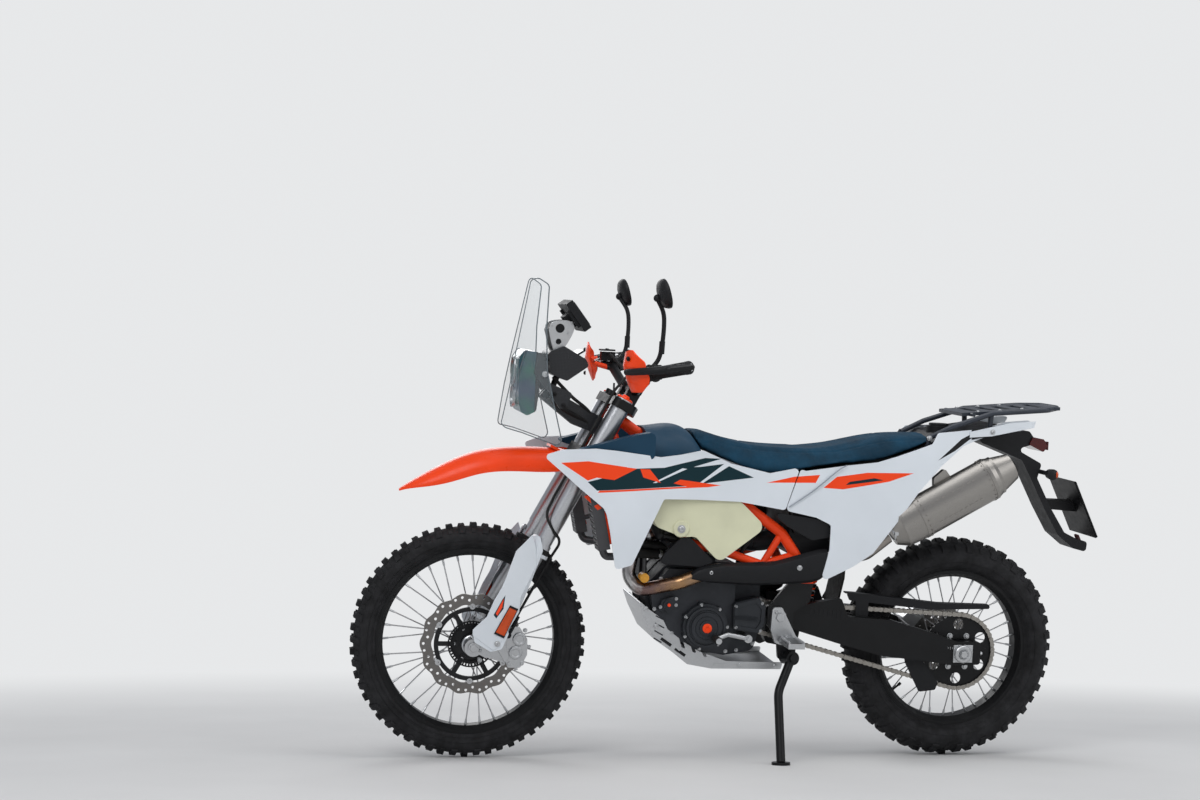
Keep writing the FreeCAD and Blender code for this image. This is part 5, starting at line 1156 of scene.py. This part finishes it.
def make_head():
    b = Build()
    lens = []
    for i in range(13):
        y = -64 + i * 128 / 12
        dome = 12 * (1 - (y / 66) ** 2)
        line = []
        for z, x in ((1206, 1376), (1190, 1393), (1150, 1398), (1110, 1396), (1072, 1392), (1044, 1382)):
            line.append(Vector((x + dome * 0.5, y, z)))
        for z, x in ((1044, 1370), (1206, 1370)):
            line.append(Vector((x, y, z)))
        lens.append(line)
    b.skin(lens)
    b.done("lamp_lens", "lit", bevel=2.0)
    for z, radius in ((1152, 40), (1078, 30)):
        b.revolve((1400, 0, z), (1, 0, 0), [(radius, -4), (radius + 3, -4), (radius + 3, 4), (radius, 4)], 48)
        b.revolve((1400, 0, z), (1, 0, 0), [(0.1, 0), (radius * 0.55, -2), (radius, -3), (0.1, -4)], 40)
    b.done("lamp_rings", "alloy")
    for side, tag in SIDES:
        b.bolt((1322, side * 100, 1150), ACROSS * side, 6.5, 4, "dome")
        b.done("screen_bolts_" + tag, "alloy")
        outline = spline([(x, 0, z) for x,
                          z in ((1307, 1277), (1296, 1300), (1250, 1306), (1232, 1282), (1262, 1224),
                                                 (1288, 1216), (1307, 1277))], 5)[:-1]
        holes = (circle(1274, 1283, 14, 24), circle(1277, 1244, 9, 20))
        b.plate([(p.x, p.z) for p in outline], side * 38, side * 43, holes, 0.6)
        b.bolts(((1300, 1290), (1240, 1300), (1280, 1222), (1250, 1270)), side * 43, ACROSS * side, 3.5, 3,
                "dome")
        b.done("nav_plate_" + tag, "alloy")
        b.bolts(((1316, 1192), (1262, 1060), (1322, 1140), (1290, 1092)), side * 87, ACROSS * side, 5, 4,
                "dome")
        b.done("tower_bolts_" + tag, "black")
    screen = bmesh.new()
    screen.from_mesh(NODES["windscreen"].data)
    screen.transform(TO_ROW.inverted())
    bmesh.ops.remove_doubles(screen, verts=screen.verts, dist=0.02)
    for edge in screen.edges:
        if len(edge.link_faces) == 2 and edge.calc_face_angle() > math.radians(50):
            b.rod(edge.verts[0].co, edge.verts[1].co, 1.5, 6)
    screen.free()
    b.done("screen_edges", "edge")
    turn = Matrix.Rotation(math.radians(38), 3, "Y")
    place = Vector((1226, 0, 1322))
    b.box(place + turn @ Vector((-13, 0, 0)), (3, 136, 80), turn)
    b.done("nav_screen", "lamp", bevel=1.0)
    b.box(place, (24, 152, 98), turn)
    for y in (-62, 62):
        b.box(place + turn @ Vector((15, y, 0)), (10, 12, 60), turn)
    b.box(place + turn @ Vector((20, 0, -4)), (26, 60, 44), turn)
    b.plate([(1307, 1277), (1296, 1293), (1246, 1300), (1233, 1280), (1262, 1228), (1285, 1219)], -37, 37,
            (), 2)
    b.done("nav_case", "plastic", bevel=4, instead=("nav_mount",))
    b.box((1222, 0, 1206), (6, 96, 52), Matrix.Rotation(math.radians(-58), 3, "Y"))
    b.done("dash_screen", "lamp", bevel=1.5)
    b.tube([(1300, 30, 1080), (1240, 26, 1040), (1180, 16, 1010), (1150, 14, 975)], 7, 12, 8)
    b.tube([(1290, 50, 1140), (1230, 40, 1084), (1165, 16, 1030), (1155, 18, 955)], 5, 10, 8)
    b.tube([(1300, -30, 1080), (1240, -26, 1040), (1180, -16, 1010), (1150, -14, 975)], 7, 12, 8)
    b.done("tower_loom", "rubber")


def make_tail():
    b = Build()
    for side, tag in SIDES:
        p = Vector((-262, side * 128, 900))
        b.revolve(p, ACROSS * side, [(0.1, -26), (10, -24), (16, -14), (17, 0), (12, 3), (0.1, 4)], 28)
        b.done("turn_lamp_" + tag, "plastic")
        b.revolve(p + Vector((-9, side * -8, 0)), (-1, 0, 0),
                  [(0.1, 0), (13, 0), (13, 5), (9, 9), (0.1, 10)], 28)
        b.done("turn_lens_" + tag, "amber")
        for x in (-24, -96, -168):
            z = 1078 + (30 - x) * math.tan(math.radians(5))
            b.bolt((x, side * 84, z), (0.087, 0, 1), 5, 4, "dome")
        for place in ((143, 125, 1000), (-62, 117, 1024)):
            b.bolt(Vector(place) * Vector((1, side, 1)), ACROSS * side, 6, 5, "dome")
        b.done("rack_bolts_" + tag, "alloy")
        b.plate([(10, 1006), (-60, 1012), (-196, 1042), (-200, 1060), (-120, 1053), (-40, 1034), (10, 1022)],
                side * 113.5, side * 117, (), 0.8)
        b.done("tail_edge_" + tag, "guard")
        seam = spline([(420, 185.6, 917), (448, 186, 900), (520, 183, 838), (590, 178, 788)], 8)
        rings = []
        for q in seam:
            q = Vector((q.x, q.y * side, q.z))
            rings.append([q + Vector((dx, dy * side, dx * 0.8)) for dx,
                          dy in ((-1.4, -1.5), (-1.2, 0.5), (1.2, 0.5), (1.4, -1.5))])
        b.skin(rings)
        b.done("panel_seam_" + tag, "seam")
    for y in (-44, -22, 0, 22, 44):
        b.box((-276, y, 982), (4, 18, 26))
    b.done("tail_lens_ribs", "lens", bevel=1.0)
    low, high = Vector((-437, 0, 702)), Vector((-352, 0, 876))
    up = (high - low).normalized()
    out = Vector((-up.z, 0, up.x))
    turn = Matrix((up, ACROSS, out)).transposed()
    middle = (low + high) / 2 + out * 4
    for along in (-93, 93):
        b.box(middle + up * along, (4, 184, 4), turn)
    for y in (-91, 91):
        b.box(middle + ACROSS * y, (190, 4, 4), turn)
    for y in (-55, 55):
        b.bolt(middle + up * 78 + ACROSS * y, out, 5, 3, "dome")
    b.done("plate_frame", "black", bevel=0.8)
    b.revolve(low - up * 22 - out * 24, out, [(0.1, 0), (15, 0), (15, 5), (12, 8), (0.1, 8)], 28)
    b.box(low - up * 10 - out * 20, (34, 24, 6), turn)
    b.done("rear_reflector", "lens")


def make_feet():
    b = Build()
    for side, tag in SIDES:
        for i in range(9):
            for x in (549, 593):
                b.box((x, side * (180 + i * 10), 401), (5, 4, 7), None, 0.5)
        b.rod((572, side * 160, 372), (572, side * 160, 404), 5)
        b.done("peg_teeth_" + tag, "alloy", bevel=0.3)
    b.revolve((790, 182, 392), ACROSS, [(9, -22), (11.5, -21), (11.5, 21), (9, 22)], 28)
    b.done("lever_rubber", "rubber")
    b.bolt((690, 166, 392), ACROSS, 6, 5, "hex")
    for i in range(6):
        b.box((786 + i * 6, -187, 394), (3, 34, 5), None, 0.6)
    b.done("pedal_teeth", "alloy", bevel=0.3)


def make_skid():
    b = Build()
    for side in (1, -1):
        b.bolts(((590, 302), (700, 304), (960, 420), (995, 470)), side * 118, ACROSS * side, 6, 4, "dome")
        for x, z in ((640, 302), (760, 306), (900, 360)):
            b.box((x, side * 118.6, z), (40, 1.6, 5), Matrix.Rotation(-0.04 if x < 800 else -0.7, 3, "Y"))
    b.done("skid_bolts", "alloy", bevel=0.3)
    # Dark pads at the skid plate's slots: the slot openings, with the shade inside them painted as dark
    # colour.
    for side in (1, -1):
        for x, z in ((928, 372), (884, 342)):
            b.box((x, side * 118.4, z), (38, 1.6, 9), Matrix.Rotation(math.radians(-34), 3, "Y"))
    b.done("skid_slot_shade", "plastic", bevel=0.6)


def make_radiators():
    b = Build()
    for side, tag in SIDES:
        turn = Matrix.Rotation(math.radians(12), 3, "Y")
        centre = Vector((1162, side * 180, 738))
        for i in range(19):
            b.box(centre + turn @ Vector((13, 0, -76 + i * 8.4)), (4, 54, 1.2), turn)
        for i in range(5):
            b.box(centre + turn @ Vector((14, -22 + i * 11, 0)), (2, 1.4, 156), turn)
        b.done("radiator_fins_" + tag, "alloy")
        rail = spline([(1204, 206, 812), (1176, 210, 786), (1152, 209, 757), (1140, 206, 712),
                       (1128, 203, 672)], 6)
        rings = []
        for p in rail:
            p = Vector((p.x, p.y * side, p.z))
            rings.append([p + Vector((dx, dy * side, dx * -0.5)) for dx,
                          dy in ((-7, -3), (-7, 2), (7, 2), (7, -3))])
        b.skin(rings)
        b.done("duct_strip_" + tag, "orange", bevel=1.0)


def puffed(seat):
    """The pad's shape under pressure, from the form beneath its cover."""
    start = [v.co.copy() for v in seat.data.vertices]
    held = seat.vertex_groups.new(name="held")
    low = TO_ROW.to_3x3().normalized() @ Vector((0, 0, 1))
    for v in seat.data.vertices:
        if v.normal.dot(low) < -0.2:
            held.add([v.index], 1.0, "REPLACE")
    cloth = seat.modifiers.new("cloth", "CLOTH")
    cloth.settings.vertex_group_mass = "held"
    cloth.settings.use_pressure = True
    cloth.settings.uniform_pressure_force = 4.0
    cloth.settings.quality = 2
    cloth.settings.mass = 0.3
    cloth.settings.tension_stiffness = 20
    cloth.settings.compression_stiffness = 20
    cloth.settings.bending_stiffness = 2
    cloth.settings.effector_weights.gravity = 0
    cloth.point_cache.frame_start = 1
    cloth.point_cache.frame_end = CLOTH_FRAMES
    scene = bpy.context.scene
    for number in range(1, CLOTH_FRAMES + 1):
        scene.frame_set(number)
        bpy.context.evaluated_depsgraph_get()
    shaped = bpy.data.meshes.new_from_object(seat.evaluated_get(bpy.context.evaluated_depsgraph_get()))
    seat.modifiers.clear()
    scene.frame_set(1)
    for v, first, after in zip(seat.data.vertices, start, shaped.vertices):
        move = after.co - first
        far = move.length
        v.co = first + (move * min(1.0, SEAT_PUFF / far) if far > 0 else move)
    bpy.data.meshes.remove(shaped)
    seat.vertex_groups.clear()


def make_seat():
    """The saddle: foam puffed under its cover, then the sewn seams."""
    seat = bpy.data.objects.new("saddle", NODES["seat"].data.copy())
    bpy.context.scene.collection.objects.link(seat)
    remesh = seat.modifiers.new("remesh", "REMESH")
    remesh.mode = "VOXEL"
    remesh.voxel_size = SEAT_VOXEL
    smooth = seat.modifiers.new("smooth", "SMOOTH")
    smooth.iterations = 6
    seat.data = bpy.data.meshes.new_from_object(seat.evaluated_get(bpy.context.evaluated_depsgraph_get()))
    seat.modifiers.clear()
    for v in seat.data.vertices:
        v.co = v.co - v.normal * SEAT_INSET
    puffed(seat)
    smooth = seat.modifiers.new("smooth", "SMOOTH")
    smooth.iterations = 4
    finer = seat.modifiers.new("finer", "SUBSURF")
    finer.levels = 1
    final = bpy.data.meshes.new_from_object(seat.evaluated_get(bpy.context.evaluated_depsgraph_get()))
    seat.modifiers.clear()
    seat.data = final
    final.transform(TO_ROW.inverted())
    for vertex in final.vertices:
        p = vertex.co
        side = abs(p.y)
        up = max(0.0, vertex.normal.z)
        seam = math.exp(-((side - 96) / 3.2) ** 2) * (1.0 if p.x < 700 else max(0.0, 1 - (p.x - 700) / 60))
        cross = (math.exp(-((p.x - 258) / 3.5) ** 2) * (1.0 if side < 96 else 0.0)
                 + math.exp(-((p.x - 690) / 3.5) ** 2))
        vertex.co = p - vertex.normal * (2.6 * seam * up + 2.4 * cross * up)
    final.transform(TO_ROW)
    final.materials.clear()
    final.materials.append(MAT["seat"])
    final.shade_smooth()
    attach(seat, "chassis")
    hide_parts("seat")


make_wheels()
make_chain()
make_engine()
make_exhaust()
make_frame_trim()
make_fork_trim()
make_caliper()
make_bars()
make_mirrors()
make_head()
make_tail()
make_feet()
make_skid()
make_radiators()
make_seat()


# Floor, light and camera

BACKGROUND = (0.80, 0.81, 0.82)


def stage_floor():
    mesh = bpy.data.meshes.new("floor")
    size = 60
    mesh.from_pydata([(-size, -size, 0), (size, -size, 0), (size, size, 0), (-size, size, 0)], [],
                     [(0, 1, 2, 3)])
    floor = bpy.data.objects.new("floor", mesh)
    bpy.context.scene.collection.objects.link(floor)
    p = Paint("floor_paint", (0.62, 0.62, 0.615), 0.9)
    p.color(p.ramp(p.noise(1.5, 4), 0.3, 0.7, (0.60, 0.60, 0.595), (0.64, 0.64, 0.635)))
    far = p.node("ShaderNodeVectorMath", ((0, p.coords),), operation="LENGTH").outputs["Value"]
    share = p.node("ShaderNodeMapRange", (("Value", far), ("From Min", 1.6), ("From Max", 5.5)),
                   interpolation_type="SMOOTHSTEP").outputs["Result"]
    glow = p.node("ShaderNodeEmission", (("Color", BACKGROUND), ("Strength", 1.0)))
    blend = p.node("ShaderNodeMixShader", ((0, share), (1, p.bsdf.outputs[0]), (2, glow.outputs[0])))
    p.tree.links.new(blend.outputs[0], p.tree.nodes["Material Output"].inputs["Surface"])
    mesh.materials.append(p.mat)


def area_light(name, place, target, size, energy):
    light = bpy.data.lights.new(name, "AREA")
    light.shape = "DISK"
    light.size = size
    light.energy = energy
    lamp = bpy.data.objects.new(name, light)
    lamp.location = place
    lamp.rotation_euler = (Vector(target) - Vector(place)).to_track_quat("-Z", "Y").to_euler()
    bpy.context.scene.collection.objects.link(lamp)


def world_light():
    world = bpy.data.worlds.new("studio")
    bpy.context.scene.world = world
    world.use_nodes = True
    tree = world.node_tree
    back = tree.nodes["Background"]
    back.inputs["Color"].default_value = (0.9, 0.93, 1.0, 1)
    back.inputs["Strength"].default_value = 0.42
    seen = tree.nodes.new("ShaderNodeBackground")
    seen.inputs["Color"].default_value = (*BACKGROUND, 1)
    seen.inputs["Strength"].default_value = 1.0
    path = tree.nodes.new("ShaderNodeLightPath")
    either = tree.nodes.new("ShaderNodeMath")
    either.operation = "MAXIMUM"
    tree.links.new(path.outputs["Is Camera Ray"], either.inputs[0])
    tree.links.new(path.outputs["Is Transmission Ray"], either.inputs[1])
    mix = tree.nodes.new("ShaderNodeMixShader")
    tree.links.new(either.outputs[0], mix.inputs[0])
    tree.links.new(back.outputs[0], mix.inputs[1])
    tree.links.new(seen.outputs[0], mix.inputs[2])
    tree.links.new(mix.outputs[0], tree.nodes["World Output"].inputs["Surface"])


def photo_camera():
    """The photograph's camera, fitted to both wheels."""
    yaw, pitch, roll = math.radians(-11.23), math.radians(-6.09), math.radians(0.75)
    forward = Vector((math.sin(yaw) * math.cos(pitch), -math.cos(yaw) * math.cos(pitch), -math.sin(pitch)))
    right = forward.cross(Vector((0, 0, 1))).normalized()
    up = right.cross(forward).normalized()
    right_rolled = right * math.cos(roll) + up * math.sin(roll)
    up_rolled = up * math.cos(roll) - right * math.sin(roll)
    data = bpy.data.cameras.new("photo_camera")
    data.sensor_width = 36
    data.lens = 1736.2 / 1200 * 36
    camera = bpy.data.objects.new("photo_camera", data)
    place = Vector((2137 + SHIFT_X, 5218 + SHIFT_Y, 511)) * 0.001
    turn = Matrix((right_rolled, up_rolled, -forward)).transposed().to_4x4()
    camera.matrix_world = Matrix.Translation(place) @ turn
    bpy.context.scene.collection.objects.link(camera)
    bpy.context.scene.camera = camera


stage_floor()
world_light()
area_light("key", (3.2, 4.5, 4.2), (0, 0, 0.6), 3.0, 130)
area_light("top", (-1.0, 1.0, 4.6), (0, 0, 0.6), 4.0, 90)
area_light("fill", (-4.0, 3.5, 2.4), (0, 0, 0.6), 3.0, 45)
area_light("back", (0.5, -4.5, 3.2), (0, 0, 0.8), 3.0, 60)
photo_camera()

bpy.context.scene.view_settings.view_transform = "Standard"
